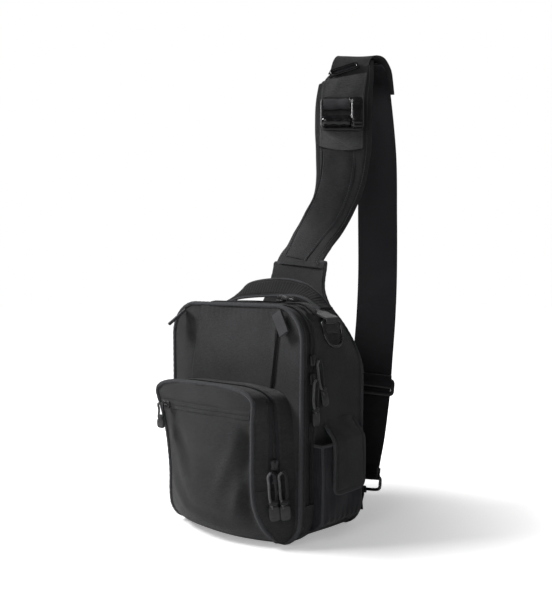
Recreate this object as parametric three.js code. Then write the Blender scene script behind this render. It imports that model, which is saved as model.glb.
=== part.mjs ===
// A one-strap sling bag: a soft zipped body, a bellows pocket on its front, a flapped pouch on
// its right side, and one padded shoulder strap that runs over the top and down behind.
// Millimetres. Inside the bag's own group x = 0 is its middle, y = 0 the wearer's side, z = 0
// its bottom, and the front looks along -y. The group is placed so that the origin is the
// underside of the strap's highest fold.
import * as THREE from "three";

// Driving dimensions.
const clear = 0.3; // gap between pieces that touch
const cloth = 2; // wall of the sewn cloth
const webbingThick = 2;
const pipingRadius = 2.2;

const body = {
  height: 280, halfTop: 112, halfBottom: 108, depth: 118,
  cornerBottom: 32, cornerTop: 42, shoulderAcross: 66, shoulderDown: 82,
};
const backPad = { thick: 11, inset: 9, groove: 3.5 };
const mainZip = { behindPiping: 8, width: 15, endHeight: 46, ridge: 1.2 };
const frontCrown = 5;
const pleat = { depth: 3.4, spread: 0.055, at: 0.62, from: 176 };
const yoke = { neckHalf: 43.5, above: 53, aside: 8.5 };
const pocket = {
  height: 186, faceHalf: 84, baseHalf: 97, depth: 54, crown: 9, belly: 19,
  zipBehindFace: 27, zipWidth: 12,
};
const pocketSliders = { upper: 88, lower: 104, pull: 94, aside: 6.4 }; // below the pocket's top
const frontZip = { below: 30, width: 11, lift: 0.5, ridge: 2 };
const pouch = { behindFront: 23, back: 28, bottom: 16, top: 116, deep: 14 };
const flap = { front: 87, back: 28, top: 144, bottom: 56, thick: 3 };
const strap = { padWidth: 70, padThick: 9, webbingWidth: 55, channelWidth: 40, channelShift: 5 };
const cornerTab = { width: 15, length: 31, thick: 2.4 };
const handle = { width: 23, thick: 3.6, behindFront: 73 };
const dRing = {
  wire: 3.6, across: 39, drop: 34, behindFront: 57, below: 18, lean: 14, tabWidth: 24,
};
const pull = { length: 58, shortLength: 33, width: 11, cord: 1.4, end: 2.4 };
const slider = { width: 9, length: 13, thick: 4.5 };
const mainSliders = { upper: 63, lower: 85 }; // below the body's top
const topZip = { behindFront: 37, width: 12, below: 5, coil: 2.5, tape: 1.5, sliderAt: 46 };
const glide = { width: 65, height: 27, thick: 3, bar: 5, side: 4.5, share: 0.793 };
const buckle = {
  width: 56, height: 44, plate: 3.6, block: 6, slotHeight: 9, blockWidth: 11, barHeight: 10, barThick: 4,
  share: 0.785, aside: -3,
};
const keeper = { width: 40, height: 12, thick: 3.4, slotWidth: 30, slotHeight: 4, share: 0.97, aside: -5 };
const lowerRing = { wire: 4, width: 62, height: 17, corner: 4, tabWidth: 34, tabAside: -8, wrap: 140 };

const colours = {
  cloth: 0x36373a, lining: 0x1d1d22, webbing: 0x17161b, plastic: 0x101012, steel: 0x8d9093,
};

// Small helpers.
const mix = (a, b, share) => a + (b - a) * share;
const vec = (x, y, z) => new THREE.Vector3(x, y, z);
const range = (count) => Array.from({ length: count }, (_, i) => i);
const smooth = (share) => {
  const s = Math.min(1, Math.max(0, share));
  return s * s * (3 - 2 * s);
};

// A value from a table of rows, read between rows by a straight line.
function read(rows, key, column, at) {
  const last = rows.length - 1;
  const rising = rows[last][key] > rows[0][key];
  const place = rows.findIndex((row) => (rising ? row[key] >= at : row[key] <= at));
  if (place <= 0) return rows[place === 0 ? 0 : last][column];
  const [low, high] = [rows[place - 1], rows[place]];
  return mix(low[column], high[column], (at - low[key]) / (high[key] - low[key]));
}

// Triangles of one flat end, from the ring's points seen along its own normal.
function endTriangles(ring) {
  const normal = vec(0, 0, 0);
  ring.forEach((point, i) => {
    const next = ring[(i + 1) % ring.length];
    normal.add(vec(0, 0, 0).crossVectors(point, next));
  });
  normal.normalize();
  const across = vec(0, 0, 0).subVectors(ring[1], ring[0]);
  across.addScaledVector(normal, -across.dot(normal)).normalize();
  const up = vec(0, 0, 0).crossVectors(normal, across);
  const flat = ring.map((point) => new THREE.Vector2(point.dot(across), point.dot(up)));
  return THREE.ShapeUtils.triangulateShape(flat, []);
}

// One closed solid through rings of equal length, capped at both ends unless it runs round.
function loft(rings, round = false) {
  const size = rings[0].length;
  const positions = rings.flat().flatMap((point) => [point.x, point.y, point.z]);
  const faces = [];
  const spans = round ? rings.length : rings.length - 1;
  for (let i = 0; i < spans; i += 1) {
    const [near, far] = [i * size, ((i + 1) % rings.length) * size];
    for (let j = 0; j < size; j += 1) {
      const k = (j + 1) % size;
      faces.push([near + j, near + k, far + k], [near + j, far + k, far + j]);
    }
  }
  if (!round) {
    const end = (rings.length - 1) * size;
    endTriangles(rings[0]).forEach(([a, b, c]) => faces.push([c, b, a]));
    endTriangles(rings[rings.length - 1]).forEach(([a, b, c]) => {
      faces.push([end + a, end + b, end + c]);
    });
  }
  const point = (i) => vec(...positions.slice(3 * i, 3 * i + 3));
  const volume = faces.reduce((sum, [a, b, c]) => (
    sum + point(a).dot(vec(0, 0, 0).crossVectors(point(b), point(c)))), 0);
  const outward = volume > 0 ? faces : faces.map(([a, b, c]) => [c, b, a]);
  const geometry = new THREE.BufferGeometry();
  geometry.setAttribute("position", new THREE.Float32BufferAttribute(positions, 3));
  geometry.setIndex(outward.flat());
  geometry.computeVertexNormals();
  return geometry;
}

// A sheet of cloth through rows of points, its back face one wall away along each row's `inward`.
function sheet(rows, thick, inward) {
  return loft(rows.map((row, i) => {
    const back = row.map((point) => point.clone().addScaledVector(inward(i), thick));
    return [...row, ...back.reverse()];
  }));
}

// A round cord or wire through points, its radius given for each point.
function wire(points, radiusAt, round = false, sides = 8) {
  const count = points.length;
  let side = null;
  const rings = points.map((point, i) => {
    const before = points[round ? (i + count - 1) % count : Math.max(0, i - 1)];
    const after = points[round ? (i + 1) % count : Math.min(count - 1, i + 1)];
    const along = vec(0, 0, 0).subVectors(after, before).normalize();
    side ??= Math.abs(along.y) > 0.9 ? vec(1, 0, 0) : vec(0, 1, 0);
    side = side.clone().addScaledVector(along, -side.dot(along)).normalize();
    const up = vec(0, 0, 0).crossVectors(along, side);
    return range(sides).map((k) => {
      const angle = (2 * Math.PI * k) / sides;
      return point.clone()
        .addScaledVector(side, Math.cos(angle) * radiusAt(i))
        .addScaledVector(up, Math.sin(angle) * radiusAt(i));
    });
  });
  return loft(rings, round);
}

// The group, and how a piece joins it.
const bag = new THREE.Group();
function add(name, geometry, colour, roughness = 0.9, metalness = 0) {
  const material = new THREE.MeshStandardMaterial({ color: colour, roughness, metalness });
  const mesh = new THREE.Mesh(geometry, material);
  mesh.name = name;
  bag.add(mesh);
  return mesh;
}

// The underside of the strap's highest fold, in the bag's own group.
const apex = vec(43, 77, 611.5);

// The body's outline.
// From front to back the top corners change from round to long cut shoulders.
const frontFace = -(body.depth + backPad.thick);
const backFace = -backPad.thick;
const depthShare = (y) => (y - frontFace) / (backFace - frontFace);

function outlineSizes(share, grow) {
  const late = smooth(share) * share;
  return {
    across: mix(body.cornerTop, body.shoulderAcross, late) + grow,
    down: mix(body.cornerTop, body.shoulderDown, late) + grow,
    power: mix(2, 1.38, late),
    low: body.cornerBottom + grow,
    top: body.height + grow,
    bottom: -grow,
    half: (z) => mix(body.halfBottom, body.halfTop, z / body.height) + grow,
  };
}

// Half the width at a height, for the outline at a share of the depth.
function halfWidth(z, share, grow = 0) {
  const s = outlineSizes(share, grow);
  if (z > s.top - s.down) {
    const rise = Math.min(1, (z - s.top + s.down) / s.down);
    return s.half(z) - s.across + s.across * (1 - rise ** s.power) ** (1 / s.power);
  }
  const fall = Math.min(1, Math.max(0, (s.bottom + s.low - z) / s.low));
  return s.half(z) - s.low + s.low * Math.sqrt(1 - fall * fall);
}

// Heights where the outline is sampled, from the bottom up.
function outlineHeights(share, grow = 0) {
  const s = outlineSizes(share, grow);
  const lower = [0, 0.3, 0.6, 0.85, 1.15, 1.57].map((a) => s.bottom + s.low * (1 - Math.cos(a)));
  const [low, high] = [s.bottom + s.low, s.top - s.down];
  const middle = [0.25, 0.5, 0.75].map((t) => mix(low, high, t));
  const upper = [0, 0.35, 0.65, 0.9, 1.15, 1.36, 1.57].map((a) => high + s.down * Math.sin(a));
  return [...lower.slice(0, -1), low, ...middle, ...upper.slice(0, -1), s.top];
}

// The closed outline at a depth, as points that keep their roles from front to back.
function outline(y, grow = 0) {
  const share = depthShare(y);
  const heights = outlineHeights(share, grow);
  const right = heights.map((z) => [halfWidth(z, share, grow), z]);
  const [first, last] = [right[0], right[right.length - 1]];
  const bottom = [0, 0.5].map((t) => [first[0] * t, first[1]]);
  const top = [0.66, 0.33].map((t) => [last[0] * t, last[1]]);
  const half = [...bottom, ...right, ...top];
  const left = half.slice(1).reverse().map(([x, z]) => [-x, z]);
  return [...half, [0, last[1]], ...left].map(([x, z]) => vec(x, y, z));
}

// A band that follows the outline between two depths, all round or over a run of its points.
function outlineBand(depths, thick, grow, run) {
  const outer = depths.map((y) => outline(y, grow));
  const inner = [...depths].reverse().map((y) => outline(y, grow - thick));
  const rings = outer[0].map((_, i) => [...outer.map((o) => o[i]), ...inner.map((o) => o[i])]);
  return run ? loft(run.map((i) => rings[i])) : loft(rings, true);
}

// Where the main zip stops on each side, as places along the outline.
function zipRun() {
  const points = outline(frontFace);
  const start = points.findIndex((p) => p.x > 0 && p.z > mainZip.endHeight);
  const end = points.length - start;
  const over = range(end - start + 1).map((i) => start + i);
  const under = range(2 * start + 1).map((i) => (end + i) % points.length);
  return { over, under };
}

// The body: gussets round the sides, a zip between them, a front panel and a back panel.
const zipFront = frontFace + mainZip.behindPiping;
const zipBack = zipFront + mainZip.width;

function buildBody() {
  const gussetFront = frontFace + pipingRadius + clear;
  const gussetBack = backFace - cloth / 2 - pipingRadius - clear;
  const rearStart = zipBack + clear;
  const rearDepths = [0, 0.25, 0.5, 0.75, 1].map((t) => mix(rearStart, gussetBack, t));
  add("front_gusset", outlineBand([gussetFront, zipFront - clear], cloth, 0), colours.cloth);
  add("rear_gusset", outlineBand(rearDepths, cloth, 0), colours.cloth);
  const { over, under } = zipRun();
  const middle = (zipFront + zipBack) / 2;
  const outer = [[zipFront, 0], [middle - 3, 0], [middle - 2, mainZip.ridge],
    [middle + 2, mainZip.ridge], [middle + 3, 0], [zipBack, 0]];
  const lines = [...outer.map(([y, grow]) => outline(y, grow)),
    outline(zipBack, -cloth), outline(zipFront, -cloth)];
  add("main_zip", loft(over.map((i) => lines.map((line) => line[i]))), colours.lining, 0.8);
  const seam = clear / 2;
  const low = [zipFront, zipBack].map((y) => outline(y, 0));
  const high = [zipBack, zipFront].map((y) => outline(y, -cloth));
  const rings = under.map((i) => [...low, ...high].map((line) => line[i].clone()));
  [rings[0], rings[rings.length - 1]].forEach((ring) => ring.forEach((p) => {
    p.z -= seam * 2;
  }));
  add("bottom_gusset", loft(rings), colours.cloth);
  const edge = outline(frontFace, 0);
  add("front_piping", wire(edge, () => pipingRadius, true, 6), colours.cloth, 0.8);
}

// How far the front panel stands out: a soft crown with two pleats above the pocket.
function frontDepth(x, z, half) {
  const across = 1 - (x / half) ** 2;
  const up = Math.sin(Math.PI * Math.min(1, Math.max(0, z / body.height)));
  const crown = frontCrown * across * up;
  const away = (Math.abs(x) / half - pleat.at) / pleat.spread;
  const rise = smooth((z - pleat.from) / 50);
  const fold = pleat.depth * rise * Math.exp(-away * away) * Math.sign(-away || 1);
  return frontFace - crown + fold * 0.5;
}

function buildFrontPanel() {
  const inset = pipingRadius + clear;
  const right = [0.48, 0.56, 0.62, 0.68, 0.74, 0.9, 1];
  const shares = [...right.map((t) => -t).reverse(), 0, ...right];
  const rows = outlineHeights(0, -inset).map((z) => {
    const half = halfWidth(z, 0, -inset);
    return shares.map((t) => vec(t * half, frontDepth(t * half, z, half), z));
  });
  add("front_panel", sheet(rows, cloth, () => vec(0, 1, 0)), colours.cloth);
}

// The back panel runs up past the body as a yoke that carries the strap.
const yokeTop = body.height + yoke.above;
const yokeRows = [
  { rise: 0.7, half: 0 }, { rise: 0.86, half: 1.582 }, { rise: 0.96, half: 1.361 },
  { rise: 1.01, half: 1.251 }, { rise: 1.06, half: 1.1 }, { rise: 1.125, half: 1.03 },
  { rise: 1.3, half: 1 },
];

function backHalf(z, grow) {
  const own = z < body.height + grow ? halfWidth(z, 1, grow) : 0;
  const neck = read(yokeRows, "rise", "half", z / body.height) * yoke.neckHalf + grow;
  return z > 0.84 * body.height ? Math.max(own, neck) : own;
}

// Above the shoulders the yoke's middle moves aside from the bag's own.
const yokeShift = (z) => yoke.aside * smooth((z / body.height - 1.036) / 0.16);

function backHeights(grow) {
  const low = outlineHeights(1, grow).filter((z) => z < 0.95 * body.height);
  const high = [0.965, 1.01, 1.06, 1.125].map((t) => t * body.height);
  return [...low, ...high, yokeTop + grow];
}

function buildBack() {
  const inset = -(pipingRadius + clear);
  const front = backFace - cloth;
  const shares = [-1, -0.5, 0, 0.5, 1];
  const rows = backHeights(inset).map((z) => (
    shares.map((t) => vec(yokeShift(z) + t * backHalf(z, inset), front, z))));
  add("back_panel", sheet(rows, cloth, () => vec(0, 1, 0)), colours.cloth);
  const heights = backHeights(0);
  const edge = (z, side) => vec(yokeShift(z) + side * backHalf(z, 0), front + cloth / 2, z);
  const right = heights.map((z) => edge(z, 1));
  const left = heights.map((z) => edge(z, -1)).reverse();
  add("back_binding", wire([...right, ...left], () => pipingRadius, true, 6), colours.cloth);
  add("back_pad", padBlock(), colours.lining);
}

// The back pad: a cushion with two upright channels pressed in on the wearer's side.
function padBlock() {
  const bottom = backFace + clear;
  const heights = outlineHeights(1, -backPad.inset);
  const shares = [-1, -0.93, -0.62, -0.4, -0.34, -0.28, 0, 0.28, 0.34, 0.4, 0.62, 0.93, 1];
  const sink = { "-1": 1, "-0.93": 0.3, "-0.34": 0.62, "0.34": 0.62, "0.93": 0.3, 1: 1 };
  const [low, high] = [heights[0], heights[heights.length - 1]];
  return loft(heights.map((z) => {
    const half = halfWidth(z, 1, -backPad.inset);
    const edge = Math.min(1, Math.min(z - low, high - z) / 14);
    const lift = (backPad.thick - clear) * (0.42 + 0.58 * Math.sin((edge * Math.PI) / 2));
    const back = shares.map((t) => {
      const pressed = (sink[t] ?? 0) * backPad.groove * 1.6;
      return vec(t * half, bottom + Math.max(2.5, lift - pressed), z);
    });
    const face = shares.map((t) => vec(t * half, bottom, z)).reverse();
    return [...back, ...face];
  }));
}

// The front pocket.
// Each row is one place round its edge, from the bottom to the top, as shares of the
// pocket's height, depth and half widths.
const pocketRows = [
  { up: 0.018, face: 0.94, deep: 0.14, base: 0.86, baseUp: 0.018 },
  { up: 0.05, face: 0.985, deep: 0.34, base: 0.95, baseUp: 0.05 },
  { up: 0.13, face: 0.94, deep: 0.58, base: 1.02, baseUp: 0.13 },
  { up: 0.24, face: 0.875, deep: 0.72, base: 1.045, baseUp: 0.24 },
  { up: 0.35, face: 0.845, deep: 0.76, base: 1.045, baseUp: 0.35 },
  { up: 0.47, face: 0.85, deep: 0.785, base: 1.04, baseUp: 0.47 },
  { up: 0.635, face: 0.88, deep: 0.83, base: 1.025, baseUp: 0.63 },
  { up: 0.79, face: 0.93, deep: 0.91, base: 1.0, baseUp: 0.77 },
  { up: 0.87, face: 0.975, deep: 0.96, base: 0.975, baseUp: 0.85 },
  { up: 0.92, face: 0.99, deep: 0.985, base: 0.94, baseUp: 0.9 },
  { up: 0.958, face: 0.93, deep: 1, base: 0.87, baseUp: 0.94 },
  { up: 0.985, face: 0.77, deep: 1, base: 0.72, baseUp: 0.97 },
  { up: 1, face: 0.52, deep: 1, base: 0.5, baseUp: 0.985 },
];
const pocketZipFrom = 4;

// One place on the pocket's edge: the face's corner, the base on the body, and the way out.
function pocketPlaces() {
  const right = pocketRows.map((row) => ({
    face: vec(row.face * pocket.faceHalf, frontFace - row.deep * pocket.depth, row.up * pocket.height),
    base: vec(row.base * pocket.baseHalf, 0, row.baseUp * pocket.height),
  }));
  const top = [0.66, 0.33, 0].map((t) => {
    const last = right[right.length - 1];
    const [face, base] = [last.face.clone(), last.base.clone()];
    face.x *= t;
    base.x *= t;
    return { face, base };
  });
  const half = [...right, ...top];
  const flip = (p) => vec(-p.x, p.y, p.z);
  const left = half.slice(0, -1).reverse().map(({ face, base }) => (
    { face: flip(face), base: flip(base) }));
  const places = [...half, ...left];
  places.forEach((place) => {
    const { x, z } = place.base;
    place.base.y = frontDepth(x, z, halfWidth(z, 0, -pipingRadius - clear)) - clear;
  });
  places.forEach((place, i) => {
    const before = places[Math.max(0, i - 1)];
    const after = places[Math.min(places.length - 1, i + 1)];
    const along = vec(0, 0, 0).subVectors(after.face, before.face).setY(0).normalize();
    place.out = vec(along.z, 0, -along.x);
    place.deep = vec(0, 0, 0).subVectors(place.base, place.face);
    place.length = place.deep.length();
    place.deep.normalize();
    const path = vec(0, 0, 0).subVectors(after.face, before.face).normalize();
    const slant = vec(0, 0, 0).crossVectors(path, place.deep).length();
    place.edge = (pipingRadius + clear + 0.2) / Math.max(0.3, slant);
    place.skin = place.out.clone().addScaledVector(place.deep, -place.out.dot(place.deep)).normalize();
  });
  return places;
}

// A strip of the pocket's gusset between two distances from its face.
function gussetStrip(places, from, to, raise = 0) {
  return loft(places.map((place) => {
    const point = (distance, lift) => place.face.clone()
      .addScaledVector(place.deep, distance)
      .addScaledVector(place.skin, lift);
    const [near, far] = [from(place), to(place)];
    const middle = (near + far) / 2;
    const ridge = raise
      ? [point(middle - 3, 0), point(middle - 2, raise), point(middle + 2, raise), point(middle + 3, 0)]
      : [];
    return [point(near, 0), ...ridge, point(far, 0), point(far, -cloth), point(near, -cloth)];
  }));
}

function buildPocket() {
  const places = pocketPlaces();
  const count = places.length;
  const upper = places.slice(pocketZipFrom, count - pocketZipFrom);
  const edge = (place) => place.edge;
  const zipNear = () => pocket.zipBehindFace - pocket.zipWidth / 2;
  const zipFar = () => pocket.zipBehindFace + pocket.zipWidth / 2;
  const wall = (place) => place.length - (cloth * Math.abs(place.skin.y)) / Math.max(0.3, place.deep.y);
  add("pocket_gusset_front", gussetStrip(upper, edge, () => zipNear() - clear), colours.cloth);
  add("pocket_zip", gussetStrip(upper, zipNear, zipFar, mainZip.ridge), colours.lining, 0.8);
  add("pocket_gusset_rear", gussetStrip(upper, () => zipFar() + clear, wall), colours.cloth);
  const lowRight = places.slice(0, pocketZipFrom + 1);
  const lowLeft = places.slice(count - pocketZipFrom - 1);
  [["right", lowRight, pocketZipFrom], ["left", lowLeft, 0]].forEach(([side, run, joint]) => {
    const moved = run.map((place, i) => (i === joint
      ? { ...place, face: place.face.clone().setZ(place.face.z - clear) }
      : place));
    add(`pocket_gusset_low_${side}`, gussetStrip(moved, edge, wall), colours.cloth);
  });
  const piping = wire(places.map((place) => place.face), () => pipingRadius, false, 6);
  add("pocket_piping", piping, colours.cloth, 0.8);
  buildPocketFace(places);
}

// How far the pocket's face stands out between its edges.
function pocketCrown(t, up) {
  const belly = pocket.belly * smooth(1 - up / 0.55);
  const middle = pocket.crown * smooth(up / 0.5) * (1 - 0.6 * smooth((up - 0.6) / 0.4));
  return (1 - t * t) * (belly + middle);
}

function pocketFacePoint(t, place, lift = 0) {
  const up = place.face.z / pocket.height;
  const x = t * place.face.x;
  return vec(x, place.face.y - pocketCrown(t, up) - lift, place.face.z);
}

function buildPocketFace(places) {
  const inset = pipingRadius + clear;
  const rows = places.slice(0, pocketRows.length).map((place) => {
    const moved = { ...place, face: place.face.clone().addScaledVector(place.out, -inset) };
    return range(13).map((i) => pocketFacePoint(i / 6 - 1, moved));
  });
  const last = rows[0].map((point) => point.clone());
  last.forEach((point) => {
    point.z = Math.max(cloth, point.z - 1.2);
    point.y = Math.min(frontFace - pipingRadius - 1, point.y + 5.5);
  });
  const face = [last, ...rows];
  const inward = (i) => vec(0, 1, 0.9 * smooth(1 - face[i][0].z / (0.3 * pocket.height))).normalize();
  add("pocket_face", sheet(face, cloth, inward), colours.cloth);
  add("pocket_front_zip", frontZipStrip(rows), colours.lining, 0.8);
  buildFrontPull(rows);
}

// A place on the front zip's line: a column of the face's grid, a distance above the zip's
// middle and a distance off the cloth.
function frontZipPlace(rows, column, above, out) {
  const middle = pocket.height - frontZip.below;
  const next = rows.findIndex((row) => row[0].z > middle);
  const [low, high] = [rows[next - 1], rows[next]];
  const share = (middle + above - low[0].z) / (high[0].z - low[0].z);
  const point = vec(0, 0, 0).lerpVectors(low[column], high[column], share);
  point.y -= out;
  return point;
}

// The flat zip across the pocket's face, laid on the face's own grid.
function frontZipStrip(rows) {
  const { lift, ridge } = frontZip;
  const half = frontZip.width / 2;
  const tape = lift + ridge / 2;
  const section = [[-half, lift], [-half, tape], [-2, tape], [-1.3, lift + ridge],
    [1.3, lift + ridge], [2, tape], [half, tape], [half, lift]];
  const columns = range(rows[0].length - 2).map((i) => i + 1);
  return loft(columns.map((column) => (
    section.map(([above, out]) => frontZipPlace(rows, column, above, out)))));
}

// Corner tabs at the front's two top corners.
function buildCornerTabs() {
  const sides = [
    { side: "right", x: 0.685, raise: -0.2, down: vec(0.5, -0.12, -0.8), across: vec(0.85, 0, 0.5) },
    { side: "left", x: -0.74, raise: 1.1, down: vec(-0.45, -0.62, -0.66), across: vec(0.8, -0.6, 0) },
  ];
  sides.forEach(({ side, x, raise, down, across }) => {
    const start = vec(x * body.halfTop, frontFace - pipingRadius - clear - raise * cornerTab.thick, 0);
    start.z = body.height - pipingRadius - cornerTab.width * (0.35 + 0.25 * raise);
    down.normalize();
    across.addScaledVector(down, -across.dot(down)).normalize();
    const out = vec(0, 0, 0).crossVectors(down, across);
    if (out.y > 0) out.negate();
    const corners = [[-0.5, 0], [0.5, 0], [0.5, 1], [-0.5, 1]];
    add(`corner_tab_${side}`, loft([0, 0.5, 1].map((t) => corners.map(([a, b]) => start.clone()
      .addScaledVector(down, t * cornerTab.length)
      .addScaledVector(across, a * cornerTab.width)
      .addScaledVector(out, b * cornerTab.thick)))), colours.cloth);
  });
}

// The strap's route, with the turn of its width seen from above in degrees.
// The route belongs to a soft strap and is a list of chosen places.
// The padded part's heights are shares of the way from the yoke's top to the fold.
const padRows = [
  { x: 13, y: -9, rise: 0.024, turn: 0, width: 1.04 },
  { x: 13.5, y: -6.8, rise: 0.052, turn: 2, width: 0.99 },
  { x: 18, y: 2, rise: 0.108, turn: 12, width: 0.93 },
  { x: 28, y: 13, rise: 0.187, turn: 24, width: 0.87 },
  { x: 41, y: 20, rise: 0.284, turn: 32, width: 0.86 },
  { x: 48, y: 27, rise: 0.406, turn: 38, width: 0.96 },
  { x: 46, y: 34, rise: 0.549, turn: 41, width: 1.07 },
  { x: 41, y: 42, rise: 0.707, turn: 41, width: 1.11 },
  { x: 38, y: 48, rise: 0.84, turn: 41, width: 1.02 },
  { x: 39, y: 53, rise: 0.941, turn: 41, width: 0.76 },
];
const padRoute = padRows.map((row) => ({ ...row, z: mix(yokeTop, apex.z, row.rise) }));
const webbingRoute = [
  { x: 34.1, y: 53.8, z: 572, turn: 41 },
  { x: 34.5, y: 60.5, z: 594, turn: 41 },
  { x: 37.5, y: 67, z: 607, turn: 41 },
  { x: 43, y: 77, z: 613, turn: 41 },
  { x: 42, y: 91, z: 607, turn: 41 },
  { x: 41, y: 99, z: 592, turn: 41 },
  { x: 46, y: 101, z: 560, turn: 41 },
  { x: 52, y: 105, z: 480, turn: 41 },
  { x: 48, y: 112, z: 400, turn: 41 },
  { x: 47.5, y: 113, z: 320, turn: 41 },
  { x: 50, y: 105, z: 255, turn: 41 },
  { x: 58, y: 86, z: 200, turn: 41 },
  { x: 68, y: 66, z: 160, turn: 41 },
  { x: 77, y: 43, z: 115, turn: 36 },
  { x: 84, y: 24, z: 77, turn: 15 },
  { x: 86, y: 19, z: 60, turn: 4 },
];

// A route through chosen places: its point, its width's direction and its outer side. The width
// is square to the route, but level near the fold, where the strap goes over on the slant.
function makeRoute(rows, facing, foldReach = 0) {
  const points = rows.map((row) => vec(row.x, row.y, row.z));
  const curve = new THREE.CatmullRomCurve3(points, false, "centripetal");
  const table = rows.map((row, i) => ({ ...row, share: i / (rows.length - 1) }));
  return (share) => {
    const along = curve.getTangent(share);
    const turn = THREE.MathUtils.degToRad(read(table, "share", "turn", share));
    const at = curve.getPoint(share);
    const square = foldReach ? smooth((apex.z - at.z) / foldReach) : 1;
    const across = vec(Math.cos(turn), Math.sin(turn), 0);
    across.addScaledVector(along, -across.dot(along) * square).normalize();
    const out = vec(0, 0, 0).crossVectors(across, along).setLength(facing);
    const width = read(table, "share", "width", share);
    return { at, along, across, out, width };
  };
}

const rectangle = [[-0.5, -0.5], [0.5, -0.5], [0.5, 0.5], [-0.5, 0.5]];
const cushion = [[-0.5, -0.16], [-0.44, -0.5], [0.44, -0.5], [0.5, -0.16], [0.5, 0.2],
  [0.44, 0.42], [0.2, 0.5], [-0.2, 0.5], [-0.44, 0.42], [-0.5, 0.2]];

// A strap along a route, lifted off it towards its outer side.
function ribbon(route, shape) {
  const { from = 0, to = 1, steps, width, thick, lift = () => 0, shift = 0, section = rectangle } = shape;
  return loft(range(steps + 1).map((i) => {
    const share = mix(from, to, i / steps);
    const place = route(share);
    return section.map(([a, b]) => place.at.clone()
      .addScaledVector(place.across, a * width(place) + shift)
      .addScaledVector(place.out, b * thick + lift(share)));
  }));
}

const padAlong = makeRoute(padRoute, 1);
const webbingAlong = makeRoute(webbingRoute, -1, 60);

const padSteps = 30;
function buildShoulderPad() {
  const { padWidth, padThick } = strap;
  const width = (place) => place.width * padWidth;
  add("shoulder_pad", ribbon(padAlong, { steps: padSteps, width, thick: padThick, section: cushion }),
    colours.cloth);
  const lift = () => padThick / 2 + 7 * clear + webbingThick / 2;
  add("strap_channel", ribbon(padAlong, {
    from: 1 / padSteps, to: 20 / padSteps, steps: 19, width: () => strap.channelWidth,
    thick: webbingThick, lift, shift: -strap.channelShift,
  }), colours.cloth);
  add("strap_cover", ribbon(padAlong, {
    from: 20.04 / padSteps, to: 28 / padSteps, steps: 8, width: () => 0.9 * strap.webbingWidth,
    thick: webbingThick, lift,
  }), colours.cloth);
}

// Places a flat plate, drawn in its width and length, on a route with its face outwards.
function plateOn(route, share, lift, shift, shape, thick) {
  const settings = { depth: thick, bevelEnabled: false, curveSegments: 3 };
  const geometry = new THREE.ExtrudeGeometry(shape, settings);
  const place = route(share);
  const up = place.along.clone();
  const across = vec(0, 0, 0).crossVectors(up, place.out);
  const matrix = new THREE.Matrix4().makeBasis(across, up, place.out);
  matrix.setPosition(place.at.clone().addScaledVector(place.out, lift).addScaledVector(across, shift));
  return geometry.applyMatrix4(matrix);
}

function rectShape(width, height, radius) {
  const [w, h] = [width / 2, height / 2];
  const shape = new THREE.Shape();
  shape.moveTo(-w + radius, -h);
  shape.lineTo(w - radius, -h);
  shape.absarc(w - radius, -h + radius, radius, -Math.PI / 2, 0);
  shape.lineTo(w, h - radius);
  shape.absarc(w - radius, h - radius, radius, 0, Math.PI / 2);
  shape.lineTo(-w + radius, h);
  shape.absarc(-w + radius, h - radius, radius, Math.PI / 2, Math.PI);
  shape.lineTo(-w, -h + radius);
  shape.absarc(-w + radius, -h + radius, radius, Math.PI, 1.5 * Math.PI);
  return shape;
}

function slot(width, height, x, y) {
  const [w, h] = [width / 2, height / 2];
  const path = new THREE.Path();
  path.moveTo(x - w, y - h);
  path.lineTo(x - w, y + h);
  path.lineTo(x + w, y + h);
  path.lineTo(x + w, y - h);
  path.lineTo(x - w, y - h);
  return path;
}

// The glossy buckle on the pad, the block at its side, its bar and the keeper above it.
function buildBuckle() {
  const base = strap.padThick / 2 + 9 * clear + webbingThick;
  const frame = rectShape(buckle.width, buckle.height, 5);
  const slotWidth = buckle.width - buckle.blockWidth - 6;
  [3, -14].forEach((at) => frame.holes.push(slot(slotWidth, buckle.slotHeight, -3.5, at)));
  const { share, aside } = buckle;
  add("strap_buckle", plateOn(padAlong, share, base, aside, frame, buckle.plate), colours.plastic, 0.3);
  const over = base + buckle.plate + clear;
  const block = rectShape(buckle.blockWidth, buckle.height - 8, 3);
  const blockShift = aside + (buckle.width - buckle.blockWidth - 5) / 2;
  add("buckle_block", plateOn(padAlong, share, over, blockShift, block, buckle.block),
    colours.plastic, 0.3);
  const barShape = rectShape(slotWidth - 3, buckle.barHeight, 4);
  const bar = plateOn(padAlong, share - 0.013, over, aside - 6, barShape, buckle.barThick);
  add("buckle_bar", bar, colours.plastic, 0.3);
  const loop = rectShape(keeper.width, keeper.height, 3);
  loop.holes.push(slot(keeper.slotWidth, keeper.slotHeight, 0, 0));
  const onPad = strap.padThick / 2 + clear;
  add("strap_keeper", plateOn(padAlong, keeper.share, onPad, keeper.aside, loop, keeper.thick),
    colours.plastic, 0.3);
}

// The webbing behind, woven through its glide: in front of the middle bar only.
// Each row is a place beside the glide's middle and whether the webbing is in front there.
const weave = [
  [-0.0135, 0], [-0.0118, 0], [-0.0046, 1], [0, 1], [0.0046, 1], [0.0118, 0], [0.0135, 0],
];

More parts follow.
